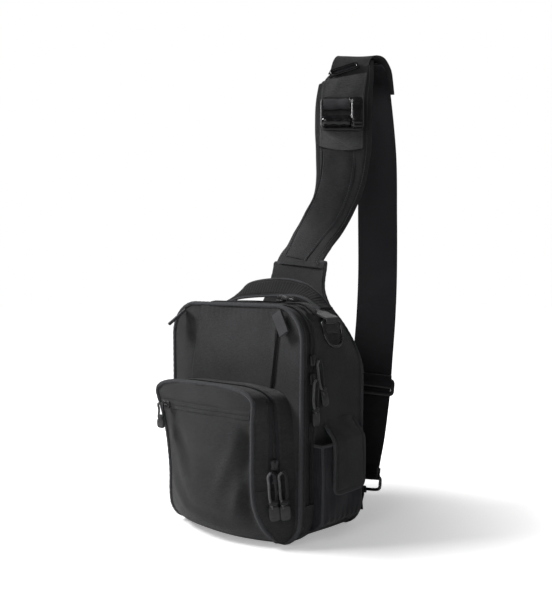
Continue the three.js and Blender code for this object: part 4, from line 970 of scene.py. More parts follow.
def add_stitches(name, runs, pitch=3.4, lift=0.12):
    """Rows of stitches: each run is a path on the cloth and the way out of the cloth along it."""
    places, ways, outs = [], [], []
    for path, out in runs:
        path = np.asarray(path, float)
        out = np.broadcast_to(np.asarray(out, float), path.shape)
        line = resample(path, pitch)
        share = np.linspace(0, 1, len(line))
        own = np.linspace(0, 1, len(path))
        normal = np.stack([np.interp(share, own, out[:, k]) for k in range(3)], -1)
        along = unit(slopes(line, 0, False))
        normal = unit(normal - along * np.sum(normal * along, -1, keepdims=True))
        places.append(line + normal * lift)
        ways.append(along)
        outs.append(normal)
    places, ways, outs = (np.concatenate(group) for group in (places, ways, outs))
    mesh = scatter_mesh(name, stitch_points, stitch_faces, places, ways, np.cross(outs, ways), outs)
    mesh.uv_layers.new(name="cloth")
    return add_object(name, mesh, thread, "bag")


def strap_line(frames, first, last, across, out):
    """A line along a strap's face at a distance from its middle."""
    run = slice(round(first * (len(frames[0]) - 1)), round(last * (len(frames[0]) - 1)) + 1)
    at, _, side, face, _ = (values[run] for values in frames)
    across = np.broadcast_to(across, (len(frames[0]),))[run] if np.ndim(across) else across
    return at + side * np.asarray(across)[..., None] + face * out, face


channel_edge = np.interp(pad_share, [0.03, 0.6], [20.0, 22.5])
channel_half = channel_edge - 2.4
cover_half = cover_width / 2
stitch_rows = []
for first, last, middle, half, out in [(0.03, 0.58, channel_aside, channel_half, 5.0),
                                       (0.6, 0.945, cover_aside, cover_half - 2.6, 6.2),
                                       (0.02, 0.97, 0.0, pad_width * 0.415, 3.95)]:
    stitch_rows += [strap_line(pad_frames, first, last, middle + half, out),
                    strap_line(pad_frames, first, last, middle - half, out)]
add_stitches("strap_stitching", stitch_rows)


def add_shade_seams(name, runs, radius=0.7):
    """The dark line where one cloth's edge lies on another: a thin dark cord half sunk between them, which
    paints the shade under that edge.
    """
    for number, (path, out) in enumerate(runs):
        out = np.broadcast_to(np.asarray(out, float), np.shape(path))
        add_rod(f"{name}_{number}", path, out[len(out) // 2], round_profile(radius, 8), tape_and_shade_cloth,
                "shell_cloth")


# The strap's seam lines are dark cords that paint the shade along the edges of the channel and the cover.
cover_row = round(cover_from * 199)
cover_across = np.linspace(-1, 1, 40)
cover_at, cover_way, cover_side, cover_face = (values[cover_row] for values in pad_frames[:4])
cover_seam = (cover_at + cover_side * (cover_across[:, None] * cover_half + cover_aside)
              + cover_way * (cover_bow * cover_across[:, None] ** 2 - 0.6) + cover_face * 5.6)
add_shade_seams("strap_seam_shade", [
    strap_line(pad_frames, 0.03, 0.58, channel_aside + channel_edge, 4.5),
    strap_line(pad_frames, 0.03, 0.58, channel_aside - channel_edge, 4.4),
    strap_line(pad_frames, 0.59, 0.95, cover_aside + cover_half, 4.9),
    strap_line(pad_frames, 0.59, 0.95, cover_aside - cover_half, 4.7), (cover_seam, cover_face)])


# The rear webbing: one broad belt of ribbed weave, over the fold and down behind, through the
# glide's slots, to the ring at the lower corner. Its ribs run along it.
def ribbed_webbing(name, colour, rib=0.0014, depth=0.0004, contrast=0.5):
    """A heavy woven belt: ribs along its length, crossed by fine chevrons of the weft."""
    material, tree, shader = new_material(name, 0.72, Sheen_Weight=0.25, Sheen_Roughness=0.4,
                                          Specular_IOR_Level=0.35)
    flat = add_node(tree, "ShaderNodeUVMap", uv_map="cloth")
    parts = add_node(tree, "ShaderNodeSeparateXYZ", {0: flat.outputs["UV"]})
    across = add_node(tree, "ShaderNodeMath", {0: parts.outputs["X"], 1: 1 / rib}, operation="MULTIPLY")
    zigzag = add_node(tree, "ShaderNodeMath", {0: across.outputs[0], 1: 1.0}, operation="PINGPONG")
    climb = add_node(tree, "ShaderNodeMath", {0: parts.outputs["Y"], 1: 0.8 / rib, 2: zigzag.outputs[0]},
                     operation="MULTIPLY_ADD")
    turned = add_node(tree, "ShaderNodeMath", {0: climb.outputs[0], 1: 2 * math.pi}, operation="MULTIPLY")
    weft = add_node(tree, "ShaderNodeMath", {0: turned.outputs[0]}, operation="SINE")
    rib_turn = add_node(tree, "ShaderNodeMath", {0: across.outputs[0], 1: math.pi}, operation="MULTIPLY")
    rib_wave = add_node(tree, "ShaderNodeMath", {0: rib_turn.outputs[0]}, operation="SINE")
    rounded_rib = add_node(tree, "ShaderNodeMath", {0: rib_wave.outputs[0]}, operation="ABSOLUTE")
    tall = add_node(tree, "ShaderNodeMath", {0: weft.outputs[0], 1: 0.25, 2: rounded_rib.outputs[0]},
                    operation="MULTIPLY_ADD")
    spot = add_node(tree, "ShaderNodeTexCoord")
    patch = add_node(tree, "ShaderNodeTexNoise", {"Vector": spot.outputs["Object"], "Scale": 24.0,
                                                  "Detail": 5.0})
    # The colour follows the height of the ribs and chevrons, plus broad patches: their low parts are painted
    # darker, a painted shade in the grooves.
    share = add_node(tree, "ShaderNodeMath", {0: tall.outputs[0], 1: 0.25, 2: patch.outputs["Fac"]},
                     operation="MULTIPLY_ADD")
    dark = [channel * (1 - contrast / 2) for channel in colour]
    light = [channel * (1 + contrast) for channel in colour]
    tone = add_node(tree, "ShaderNodeMix", {"Factor": share.outputs[0], 6: (*dark, 1), 7: (*light, 1)},
                    data_type="RGBA")
    tree.links.new(tone.outputs[2], shader.inputs["Base Color"])
    bump = add_node(tree, "ShaderNodeBump", {"Height": tall.outputs[0], "Strength": 0.6, "Distance": depth})
    tree.links.new(bump.outputs["Normal"], shader.inputs["Normal"])
    return material


black_webbing = ribbed_webbing("black webbing", (0.0034, 0.0028, 0.0052))
webbing_width = 55.0
belt_frames = strap_frames(webbing_route, 420, -1, level=True)
glide_height = 171.0
belt_z = belt_frames[0][:, 2]
glide_at = int(np.argmin(np.abs(belt_z - glide_height) + 1000 * (belt_frames[0][:, 1] > 110)))
belt_run = np.concatenate([[0], np.cumsum(np.linalg.norm(np.diff(belt_frames[0], axis=0), axis=1))])
from_glide = belt_run - belt_run[glide_at]
woven_over = smooth((9.0 - np.abs(from_glide)) / 5.0)
belt_share = np.linspace(-1, 1, 31)
belt_sunk = 0.14 * smooth((np.abs(belt_share) - 0.9) / 0.1)
cup = 0.9 * belt_share ** 2 * np.sin(belt_run / 61.0)[:, None]
belt_out = (woven_over * 5.6)[:, None] + cup - belt_sunk
belt_grid = on_strap(belt_frames, belt_share[None] * webbing_width / 2 + 0 * belt_out, belt_out + 0.9)
add_skin("rear_webbing_belt", belt_grid, black_webbing, "webbing", ["rear_webbing"], wall=1.9,
         lift=ripples(belt_grid, 120.0, 0.6) * smooth((np.abs(from_glide) - 14) / 20)[:, None],
         centre=belt_frames[0].mean(0) - [40, 60, 0])
belt_line = [strap_line(belt_frames, 0.02, 0.72, side * (webbing_width / 2 - 3.2), 1.2) for side in (-1, 1)]


# Over the fold a sleeve of shell cloth joins the pad to the belt, with a slanting seam.
sleeve_route = np.array([
    [42.5, 51.5, 596, 41], [43.5, 57, 610, 41], [43.5, 66, 618.5, 41], [43.5, 77, 621.5, 41],
    [44, 90, 618.5, 41], [44.5, 101, 607, 41], [45.5, 104.5, 590, 41], [47.5, 105, 570, 41]], float)
sleeve_frames = strap_frames(sleeve_route, 140, -1, level=True)
sleeve_frames = tilted(sleeve_frames, fold_tilt * (1 - smooth(np.linspace(0, 1, 140) / 0.35)))
strap_strip("strap_top_sleeve", 0.0, 1.0, 57.0, 0.0, -0.8, 1.6, 0.8, shell_cloth, "shell_cloth", [],
            frames=sleeve_frames)
add_stitches("belt_stitching", belt_line, pitch=3.6)


# Places of hard parts: each CAD part's own middle and its own long, wide and thin directions,
# so that a finer shape goes exactly where it is.
def node_axes(node, outward):
    """A part's middle in millimetres, its three directions from the longest, and its half sizes.
    The third looks towards `outward`, and the first looks up, or along +X where it is level."""
    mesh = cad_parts[node].data
    points = np.zeros(len(mesh.vertices) * 3, np.float32)
    mesh.vertices.foreach_get("co", points)
    points = np.unique(np.round(points.reshape(-1, 3) * 1000.0 + strap_fold, 3), axis=0)
    low, high = points.min(0), points.max(0)
    _, _, ways = np.linalg.svd(points - points.mean(0), full_matrices=False)
    spread = (points - points.mean(0)) @ ways.T
    sizes = spread.max(0) - spread.min(0)
    order = np.argsort(-sizes)
    first, second, third = ways[order]
    if abs(first[2]) > 0.3 and first[2] < 0 or abs(first[2]) <= 0.3 and first[0] < 0:
        first = -first
    if third @ np.asarray(outward, float) < 0:
        third = -third
    second = np.cross(third, first)
    middle = (low + high) / 2
    return middle, first, second, third, sizes[order] / 2


def in_axes(axes, first, second, third):
    """Points from three arrays of distances along a part's own directions."""
    middle, one, two, three, _ = axes
    return (middle + np.asarray(first)[..., None] * one + np.asarray(second)[..., None] * two
            + np.asarray(third)[..., None] * three)


# Moulded plastic: black, with a fine grain that softens its shine, and scuffs that dull or
# brighten it in patches. The buckle's own is polished.
def grain_group():
    """Moulding grain as a height, and scuffs as a mask, from a place on the object."""
    tree = bpy.data.node_groups.new("moulding grain", "ShaderNodeTree")
    tree.interface.new_socket("Size", in_out="INPUT", socket_type="NodeSocketFloat")
    tree.interface.new_socket("Height", in_out="OUTPUT", socket_type="NodeSocketFloat")
    tree.interface.new_socket("Scuffs", in_out="OUTPUT", socket_type="NodeSocketFloat")
    come, away = add_node(tree, "NodeGroupInput"), add_node(tree, "NodeGroupOutput")
    spot = add_node(tree, "ShaderNodeTexCoord")
    fine = add_node(tree, "ShaderNodeTexNoise", {"Vector": spot.outputs["Object"],
                                                 "Scale": come.outputs["Size"], "Detail": 2.0})
    broad = add_node(tree, "ShaderNodeTexNoise", {"Vector": spot.outputs["Object"], "Scale": 90.0,
                                                  "Detail": 6.0, "Roughness": 0.7, "Distortion": 0.6})
    mask = add_node(tree, "ShaderNodeMapRange", {"Value": broad.outputs["Fac"], "From Min": 0.42,
                                                 "From Max": 0.7})
    tree.links.new(fine.outputs["Fac"], away.inputs["Height"])
    tree.links.new(mask.outputs["Result"], away.inputs["Scuffs"])
    return tree


moulding_grain = grain_group()


def moulded(name, dark, light, smooth_rough, worn_rough, size=1600.0, depth=0.00006, metallic=0.0):
    """A moulded or coated hard surface with grain and scuffs."""
    material, tree, shader = new_material(name, smooth_rough, Metallic=metallic, Specular_IOR_Level=0.5)
    grain = add_node(tree, "ShaderNodeGroup", node_tree=moulding_grain)
    grain.inputs["Size"].default_value = size
    tone = add_node(tree, "ShaderNodeMix", {"Factor": grain.outputs["Scuffs"], 6: (*dark, 1),
                                            7: (*light, 1)},
                    data_type="RGBA")
    tree.links.new(tone.outputs[2], shader.inputs["Base Color"])
    rough = add_node(tree, "ShaderNodeMapRange", {"Value": grain.outputs["Scuffs"], "To Min": smooth_rough,
                                                  "To Max": worn_rough})
    tree.links.new(rough.outputs["Result"], shader.inputs["Roughness"])
    bump = add_node(tree, "ShaderNodeBump", {"Height": grain.outputs["Height"], "Strength": 0.4,
                                             "Distance": depth})
    tree.links.new(bump.outputs["Normal"], shader.inputs["Normal"])
    return material


matte_black = moulded("matte black plastic", (0.012, 0.012, 0.013), (0.026, 0.026, 0.028), 0.38, 0.55)
polished_black = moulded("polished black plastic", (0.006, 0.006, 0.007), (0.014, 0.014, 0.015), 0.12, 0.3,
                         size=900.0, depth=0.00002)
coated_metal_and_highlight = moulded("coated metal and painted highlight", (0.05, 0.05, 0.053), (0.13, 0.13, 0.135), 0.2, 0.38, size=1100.0,
                       depth=0.00003, metallic=0.85)
soft_pull = moulded("soft moulded pull end", (0.011, 0.011, 0.012), (0.028, 0.028, 0.03), 0.3, 0.5)


def soft_block(name, axes, half, material, slot, square, ribs, nodes=()):
    """A rounded block: a sphere's two angles with their sines and cosines raised to a low power."""
    polar = np.linspace(-math.pi / 2, math.pi / 2, 33)[1:-1, None]
    turn = np.linspace(0, 2 * math.pi, 49)[None, :-1]
    first = bowed(np.sin(polar), square) + 0 * turn
    second = bowed(np.cos(polar), square) * bowed(np.cos(turn), square)
    third = bowed(np.cos(polar), square) * bowed(np.sin(turn), square)
    scale = 1 + ribs(first, third)
    grid = in_axes(axes, first * half[0], second * half[1], third * half[2] * scale)
    return add_skin(name, grid, material, slot, nodes, ring=(False, True), caps=True)


# The sliders: cast bodies with a rounded nose, a bridge over the top and a slot for the coil,
# black coated. Their pulls are braided cord, doubled through the bridge, with a moulded end.
braid_cord = cloth_material("braided cord", (0.016, 0.016, 0.018), 1500.0, contrast=1.3, roughness=0.5,
                            bloom=0.2)
# One strand of each pull is a much lighter cord: partly the braid's reflective thread, partly a painted
# highlight.
reflective_and_highlight_cord = cloth_material("reflective and highlight cord", (0.10, 0.10, 0.105), 1500.0, contrast=1.6, roughness=0.4,
                            bloom=0.3)
strand_radius, braid_pitch = 1.45, 2.2


def add_slider(node, outward):
    """One slider: a rounded block with tapered ends and a waist, and a half round bridge on it."""
    axes = node_axes(node, outward)
    half_long, half_wide, half_thick = axes[4]
    polar = np.linspace(-1, 1, 29)[:, None]
    turn = np.linspace(0, 2 * math.pi, 37)[None, :-1]
    taper = (1 - np.abs(polar) ** 5) ** 0.3
    waist = 1 - 0.2 * np.exp(-((polar + 0.25) / 0.35) ** 2)
    second = taper * waist * bowed(np.cos(turn), 0.5) * half_wide
    third = taper * bowed(np.sin(turn), 0.5) * half_thick * 0.72 - 0.28 * half_thick
    body_grid = in_axes(axes, polar * half_long + 0 * turn, second, third)[1:-1]
    add_skin(f"{node}_body", body_grid, matte_black, "matte_plastic", [node], ring=(False, True), caps=True)
    bend = np.linspace(0, math.pi, 21)
    bridge = in_axes(axes, -np.cos(bend) * half_long * 0.68, 0 * bend,
                     0.25 * half_thick + np.sin(bend) ** 0.6 * half_thick * 0.95)
    add_rod(f"{node}_bridge", bridge, axes[2], round_profile(0.85, 10, 0.7), matte_black, "matte_plastic")


def add_pull(node, outward, end_length=19.0):
    """One pull: two strands of braided cord that wander a little, and the moulded end they enter."""
    axes = node_axes(node, outward)
    half_long, half_wide, half_thick = axes[4]
    down = -1.0 if abs(axes[1][2]) > 0.3 else 1.0
    top = -down * half_long
    cord_end = down * (half_long - end_length * 0.75)
    for number, (side, cord) in enumerate(((-1, braid_cord), (1, reflective_and_highlight_cord))):
        share = np.linspace(0, 1, 110)
        loop = np.sin(np.clip(share / 0.12, 0, 1) * math.pi / 2)
        first = mix(top + down * 1.0, cord_end, share)
        second = side * (half_wide - 2.0) * (0.15 + 0.85 * loop) * (1 - 0.35 * share ** 2)
        second = second + 0.7 * np.sin(share * 9.0 + number * 2.1) * share
        third = 0.6 * np.sin(share * 7.0 + number * 1.3) + side * 0.3
        path = in_axes(axes, first, second, third)
        turn = np.linspace(0, 2 * math.pi, 13)[:-1]
        run = share[:, None] * 2 * half_long
        wound = 2 * math.pi * run / braid_pitch
        braid = strand_radius * (1 + 0.1 * np.sin(wound + 2 * turn) + 0.1 * np.sin(wound - 2 * turn))
        profile = np.stack([braid * np.cos(turn), braid * np.sin(turn)], -1)
        add_rod(f"{node}_strand_{number}", path, axes[2], profile, cord, "pull_cord",
                [node] if number == 0 else ())
    knot = in_axes(axes, [down * (half_long - end_length - 2.0)], [0.0], [0.3])[0]
    soft_block(f"{node}_knot", (knot, *axes[1:]), (3.0, half_wide * 0.85, 2.5), braid_cord, "pull_cord",
               square=0.75, ribs=lambda first, third: 0.1 * np.sin(first * 9))
    seat = in_axes(axes, [down * (half_long - end_length / 2)], [0.0], [0.2])[0]
    soft_block(f"{node}_end", (seat, *axes[1:]), (end_length / 2, half_wide, half_thick * 0.95), soft_pull,
               "pull_cord", square=0.55, ribs=lambda first, third: -0.12 * (np.abs(first) < 0.55)
               * np.sin(first * 22) ** 2)


for node in ("main_slider_upper", "main_slider_lower"):
    add_slider(node, (1, 0, 0))
for node in ("main_pull_upper", "main_pull_lower"):
    add_pull(node, (1, 0, 0))
for node in ("pocket_slider_upper", "pocket_slider_lower"):
    add_slider(node, (1, -0.3, 0))
for node in ("pocket_pull_upper", "pocket_pull_lower"):
    add_pull(node, (1, -0.3, 0))
add_slider("front_slider", (0, -1, 0))
add_pull("front_pull", (-0.5, -1, 0), end_length=12.0)
add_slider("top_slider", (0, 0, 1))
add_pull("top_pull", (0, 0, 1), end_length=12.0)


# The top: a second zip across the bag's top, and the grab handle behind it, a padded band bound
# along both edges, its face turned forward and its ends sewn down behind the shoulder seams.
top_zip_depth = -92.0
top_edges = [edge(top_zip_depth + offset, grow) for offset, grow in
             [(-6.5, 0.3), (-6.0, 1.4), (-3.0, 1.7), (0.0, 1.5), (3.0, 1.7), (6.0, 1.4), (6.5, 0.3)]]
top_run = np.nonzero(top_edges[0][:, 2] > 268)[0]
top_strip = np.stack([line[top_run] for line in top_edges], 1)
add_zip("top_zip", top_strip, [0, top_zip_depth, 140], "top_zip")

handle_rows = np.array([
    [-0.74, -6, 2], [-0.72, -0.9, 8], [-0.6, 7, 30], [-0.42, 15.5, 52], [-0.12, 19.5, 62], [0.18, 20, 58],
    [0.42, 17, 36], [0.6, 9, 16], [0.73, -1.2, 2], [0.79, -5.6, 0]], float)
handle_depth = -56.0
handle_line = spline(np.stack([handle_rows[:, 0] * half_top, 0 * handle_rows[:, 0] + handle_depth,
                               height + handle_rows[:, 1], handle_rows[:, 2]], -1), 150)
lean = np.radians(handle_line[:, 3])
handle_across = np.stack([0 * lean, np.cos(lean), np.sin(lean)], -1)
handle_around = np.linspace(0, 2 * math.pi, 49)[:-1]
handle_a = bowed(np.cos(handle_around), 0.45)
handle_b = bowed(np.sin(handle_around), 0.7)
handle_band = np.exp(-((np.abs(handle_a) - 0.74) / 0.05) ** 2)
handle_half, handle_thick, handle_groove = 12.8, 2.1, 0.9
handle_profile = np.stack([handle_a * handle_half, handle_b * (handle_thick - handle_groove * handle_band)],
                          -1)
handle_grid = carry(handle_line[:, :3], handle_across, handle_profile)
handle_run = np.linspace(0, 1, 150)[:, None]
handle_ribs = 0.35 * np.sin(handle_run * 250) * (np.abs(handle_a) < 0.7) * smooth(handle_b * 3)
handle_cloth = cloth_material("handle cloth", (0.012, 0.012, 0.013), 1100.0, contrast=0.7)
handle_piece = add_skin("grab_handle_band", handle_grid, handle_cloth, "shell_cloth", ["grab_handle"],
                        ring=(False, True), caps=True, lift=ripples(handle_grid, 30.0, 0.35) + handle_ribs)
handle_along = unit(slopes(handle_line[:, :3], 0, False))
handle_way = unit(handle_across - handle_along * np.sum(handle_across * handle_along, -1, keepdims=True))
for name, side in (("upper", 1), ("lower", -1)):
    add_rod(f"grab_handle_binding_{name}", handle_line[:, :3] + handle_way * side * (handle_half - 0.6),
            (0, 1.0, 0.2), round_profile(1.7, 10), bias_cloth, "binding")


# Between the handle and the shoulder seam the top is covered with a dark glossy sheet: painted shade for the
# hollow under the handle's end.
patch_lines = [edge(depth, grow) for depth, grow in
               [(-106, 0.2), (-105, 0.9), (-98, 1.2), (-88, 1.5), (-76, 1.5), (-66, 1.2), (-60, 0.9),
                (-59, 0.2)]]
patch_run = np.nonzero((patch_lines[0][:, 0] > 60) & (patch_lines[0][:, 2] > 262))[0]
patch_grid = np.stack([line[patch_run] for line in patch_lines], 1)
shade_sheet_cloth = cloth_material("shade sheet cloth", (0.008, 0.008, 0.009), 1500.0, roughness=0.38, bloom=0.0)
add_skin("shoulder_shade_sheet", patch_grid, shade_sheet_cloth, "shell_cloth", wall=0.8,
         lift=ripples(patch_grid, 14.0, 0.5), centre=[0, -85, 140])


# The D-ring at the right shoulder: coated wire, loose in a tab of folded grey webbing that is
# sewn to the wall above and below it.
ring_bar = np.array([108.407, -72.0, 262.0])
ring_half, ring_reach, ring_wire, ring_lean = 17.7, 32.2, 1.8, math.radians(14)
ring_shape = np.array([[-0.72, 0], [0, 0], [0.72, 0], [0.97, 0.09], [1.0, 0.3], [0.93, 0.58], [0.68, 0.85],
                       [0.35, 0.97], [0, 1.0], [-0.35, 0.97], [-0.68, 0.85], [-0.93, 0.58], [-1.0, 0.3],
                       [-0.97, 0.09]])
ring_down = np.array([math.sin(ring_lean), 0.0, -math.cos(ring_lean)])
ring_path = spline(ring_bar + ring_shape[:, [0]] * ring_half * np.array([0, 1.0, 0])
                   + ring_shape[:, [1]] * ring_reach * ring_down, 96, ring=True)
ring_side = np.cross(ring_down, [0, 1.0, 0])
add_rod("d_ring_wire", ring_path, ring_side, round_profile(ring_wire), coated_metal_and_highlight, "ring_metal",
        ["d_ring"], ring=True, body="d_ring")

grey_webbing = ribbed_webbing("grey webbing", (0.026, 0.026, 0.029), rib=0.0011, depth=0.00025,
                              contrast=0.4)


def wall_x(y, z):
    """The side wall's place at a depth and a height."""
    return half_width(np.asarray(z, float), np.asarray(y, float))


def add_strap_loop(name, line, half, axis, nodes, thick, slot, centre):
    """A strip of grey webbing along a line, with its width along an axis."""
    share = np.linspace(-1, 1, 15)
    grid = np.asarray(line, float)[:, None] + share[None, :, None] * half * np.asarray(axis, float)
    return add_skin(name, grid, grey_webbing, slot, nodes, wall=thick, centre=centre)


tab_turn = np.radians(np.linspace(80, -100, 13))
tab_thick, tab_half = 1.9, 12.0
tab_radius = ring_wire + tab_thick + 0.4
tab_front = ring_bar[1] - tab_half
tab_top_z, tab_foot_z = ring_bar[2] + 13.0, ring_bar[2] - 15.0
tab_points = [[wall_x(tab_front, tab_top_z) + 1.0, tab_top_z],
              [wall_x(tab_front, tab_top_z - 4) + 2.2, tab_top_z - 4]]
tab_points += [[ring_bar[0] + tab_radius * math.cos(a), ring_bar[2] + tab_radius * math.sin(a)]
               for a in tab_turn]
tab_points += [[wall_x(tab_front, ring_bar[2] - 8) + 2.4, ring_bar[2] - 8.5],
               [wall_x(tab_front, tab_foot_z) + 2.3, tab_foot_z]]
tab_line = spline(np.array([[x, ring_bar[1], z] for x, z in tab_points]), 60)
add_strap_loop("d_ring_tab_webbing", tab_line, tab_half, (0, 1, 0), ["d_ring_tab"], tab_thick, "webbing",
               [60, ring_bar[1], ring_bar[2]])
tab_low = tab_line[-14:]
tab_sides = [[0, side * (tab_half - 2.5), 0] for side in (-1, 1)]
tab_runs = [tab_low + aside for aside in tab_sides] + [tab_low[-3] + np.array(tab_sides)]
add_stitches("d_ring_tab_stitching", [(run, (1, 0, 0.2)) for run in tab_runs], pitch=2.6,
             lift=0.2)


# The corner tabs: short strips of grey webbing, folded double and caught in the front seam at
# its two upper corners.
for side, start, down, across in [
        ("right", (76.7, -133.0, 272.4), (0.5, -0.12, -0.8), (0.85, 0, 0.5)),
        ("left", (-82.9, -133.6, 270.2), (-0.45, -0.62, -0.66), (0.8, -0.6, 0))]:
    way = unit(np.array(down, float))
    wide = unit(np.array(across, float) - way * np.dot(across, way))
    out = np.cross(way, wide)
    out = -out if out[1] > 0 else out
    turn = np.radians(np.linspace(90, -90, 15))
    folded_tip = [[28.4 + 1.5 * math.cos(a), 1.3 + 1.5 * math.sin(a)] for a in turn]
    loop = [[0.0, 3.0], [6.0, 3.2], [14.0, 2.9], [22.0, 2.8]] + folded_tip
    loop += [[22.0, -0.1], [14.0, 0.0], [6.0, 0.0], [0.0, 0.2]]
    line = spline(np.array([np.array(start) + way * a + out * b for a, b in loop]), 70)
    add_strap_loop(f"corner_tab_{side}_webbing", line, 7.5, wide, [f"corner_tab_{side}"], 1.3,
                   "shell_cloth", np.array(start) + way * 14 + out * 1.4)


# The side pouch: a low open pocket of thin ribbed nylon with a bound mouth and a bound upright edge at its
# front, its foot gathered in, and over it a padded flap of shell cloth with bound edges.
ribbed_nylon = ribbed_webbing("ribbed nylon", (0.0055, 0.0057, 0.0090), rib=0.0024, depth=0.0005,
                              contrast=0.7)
pouch_front, pouch_back, pouch_foot, pouch_mouth, pouch_deep = -106.0, -28.0, 14.0, 116.0, 14.0
pouch_corner, pouch_gather = 4.0, 12.0
pouch_z = np.concatenate([np.linspace(0, 1, 12)[:-1] ** 1.6 * pouch_gather + pouch_foot,
                          np.linspace(pouch_foot + pouch_gather, pouch_mouth, 50)])
pouch_middle = (pouch_front + pouch_back) / 2
pouch_wall = wall_x(pouch_middle, pouch_z) + 0.8
foot_in = 1 - 0.8 * (1 - smooth((pouch_z - pouch_foot) / 13)) ** 2
swell = pouch_deep * foot_in * (0.9 + 0.1 * np.sin(math.pi * np.clip((pouch_z - pouch_foot) / 100, 0, 1)))
corner = np.radians(np.linspace(90, 0, 10))
side_share = np.linspace(0, 1, 10)[:-1]
face_share_y = np.linspace(0, 1, 34)
corner_deep = pouch_corner / pouch_deep
front_wall_y = np.concatenate([0 * side_share, pouch_corner * (1 - np.sin(corner))])
front_wall_x = np.concatenate([side_share * (1 - corner_deep), 1 - corner_deep * (1 - np.cos(corner))])
pouch_y = np.concatenate([pouch_front + front_wall_y,
                          mix(pouch_front + pouch_corner, pouch_back - pouch_corner, face_share_y)[1:-1],
                          (pouch_back - front_wall_y)[::-1]])
pouch_x_share = np.concatenate([front_wall_x, np.ones(32), front_wall_x[::-1]])
pouch_grid = np.stack([pouch_wall[:, None] + swell[:, None] * pouch_x_share[None],
                       np.broadcast_to(pouch_y, (len(pouch_z), len(pouch_y))),
                       np.broadcast_to(pouch_z[:, None], (len(pouch_z), len(pouch_y)))], -1)
pouch_lift = ripples(pouch_grid, 34.0, 0.9) * smooth((pouch_grid[..., 0] - pouch_wall[:, None]) / 6)
pouch_lift += puckers(pouch_y[None] + 0 * pouch_grid[..., 1], pouch_grid[..., 2] - pouch_foot, 9.0, 0.8,
                      14.0)
add_skin("side_pouch_cloth", pouch_grid, ribbed_nylon, "ribbed_nylon", ["side_pouch", "pouch_bottom"],
         wall=1.0, lift=pouch_lift, centre=[100, pouch_middle, 65])
mouth_path = pouch_grid[-1] + [0, 0, -0.5]
add_rod("side_pouch_mouth_binding", resample(mouth_path, 1.5), (0, 0, 1.0), round_profile(2.0, 10, 0.75),
        bias_cloth, "binding")
edge_column = pouch_grid[6:, 14]
add_rod("side_pouch_edge_binding", resample(edge_column, 1.5), (1.0, -1.0, 0), round_profile(1.7, 10),
        bias_cloth, "binding")

flap_front, flap_back, flap_top, flap_foot = -87.0, -28.0, 144.0, 56.0
flap_middle, flap_drop = (flap_front + flap_back) / 2, flap_top - flap_foot
flap_x = wall_x(flap_middle, flap_top) + 0.3
flap_out = pouch_deep + 0.6 + 1.5
flap_line = spline(np.array([[0, 0.8, 0], [7, 2.6, 0], [14, flap_out * 0.48, 0], [21, flap_out * 0.85, 0],
                             [29, flap_out + 0.6, 0], [0.6 * flap_drop, flap_out + 1.2, 0],
                             [0.85 * flap_drop, flap_out + 0.6, 0], [flap_drop, flap_out + 0.1, 0]], float),
                   80)
flap_down = flap_line[:, 0]
corner_reach = 9.0
corner_share = np.clip((flap_down - (flap_drop - corner_reach)) / corner_reach, 0, 1)
flap_half = (flap_back - flap_front) / 2 - corner_reach * (1 - np.sqrt(1 - 0.98 * corner_share ** 2))
flap_across = np.linspace(-1, 1, 41)
flap_grid = np.stack([flap_x + flap_line[:, 1][:, None] + 0.9 * (1 - flap_across[None] ** 2),
                      flap_middle + flap_half[:, None] * flap_across[None],
                      np.broadcast_to((flap_top - flap_down)[:, None], (80, 41))], -1)
rim = np.minimum(flap_half[:, None] * (1 - np.abs(flap_across[None])), (flap_drop - flap_down)[:, None])
flap_lift = ripples(flap_grid, 30.0, 0.55) * smooth(rim / 6) - 0.7 * np.exp(-((rim - 4.4) / 0.9) ** 2)
flap_piece = add_skin("pouch_flap_cloth", flap_grid, shell_cloth, "shell_cloth", ["pouch_flap"], wall=2.4,
                      lift=flap_lift, centre=[80, flap_middle, 100])
flap_edge = np.concatenate([flap_grid[6:, 0], flap_grid[-1, 1:-1], flap_grid[6:, -1][::-1]])
add_rod("pouch_flap_binding", resample(flap_edge - [1.0, 0, 0], 1.5), (1.0, 0, 0),
        round_profile(1.9, 10, 0.8), bias_cloth, "binding")


# The buckle on the pad: webbing over a moulded bar, an open slot, a polished roller, and a ribbed block at
# the side, with a bright metal wire along its inner edge that paints the highlight of the block's edge.
buckle_middle, _, _, out_way, _ = node_axes("strap_buckle", (0.65, -0.75, 0))
up_way = unit(np.array([0, 0, 1.0]) - out_way * out_way[2])
right_way = np.cross(up_way, out_way)
right_way = -right_way if right_way[0] < 0 else right_way
buckle_frame = (buckle_middle, right_way, up_way, out_way, None)


def frame_path(half_wide, half_high, radius, lift):
    """A rectangle with round corners, in the buckle's own directions."""
    turn = np.linspace(0, math.pi / 2, 9)
    points = []
    for k, (sx, sy) in enumerate([(1, 1), (-1, 1), (-1, -1), (1, -1)]):
        angle = turn + k * math.pi / 2
        points += [[sx * (half_wide - radius) + radius * math.cos(a),
                    sy * (half_high - radius) + radius * math.sin(a)]
                   for a in angle]
    points = np.array(points)
    return in_axes(buckle_frame, points[:, 0], points[:, 1], np.full(len(points), lift))


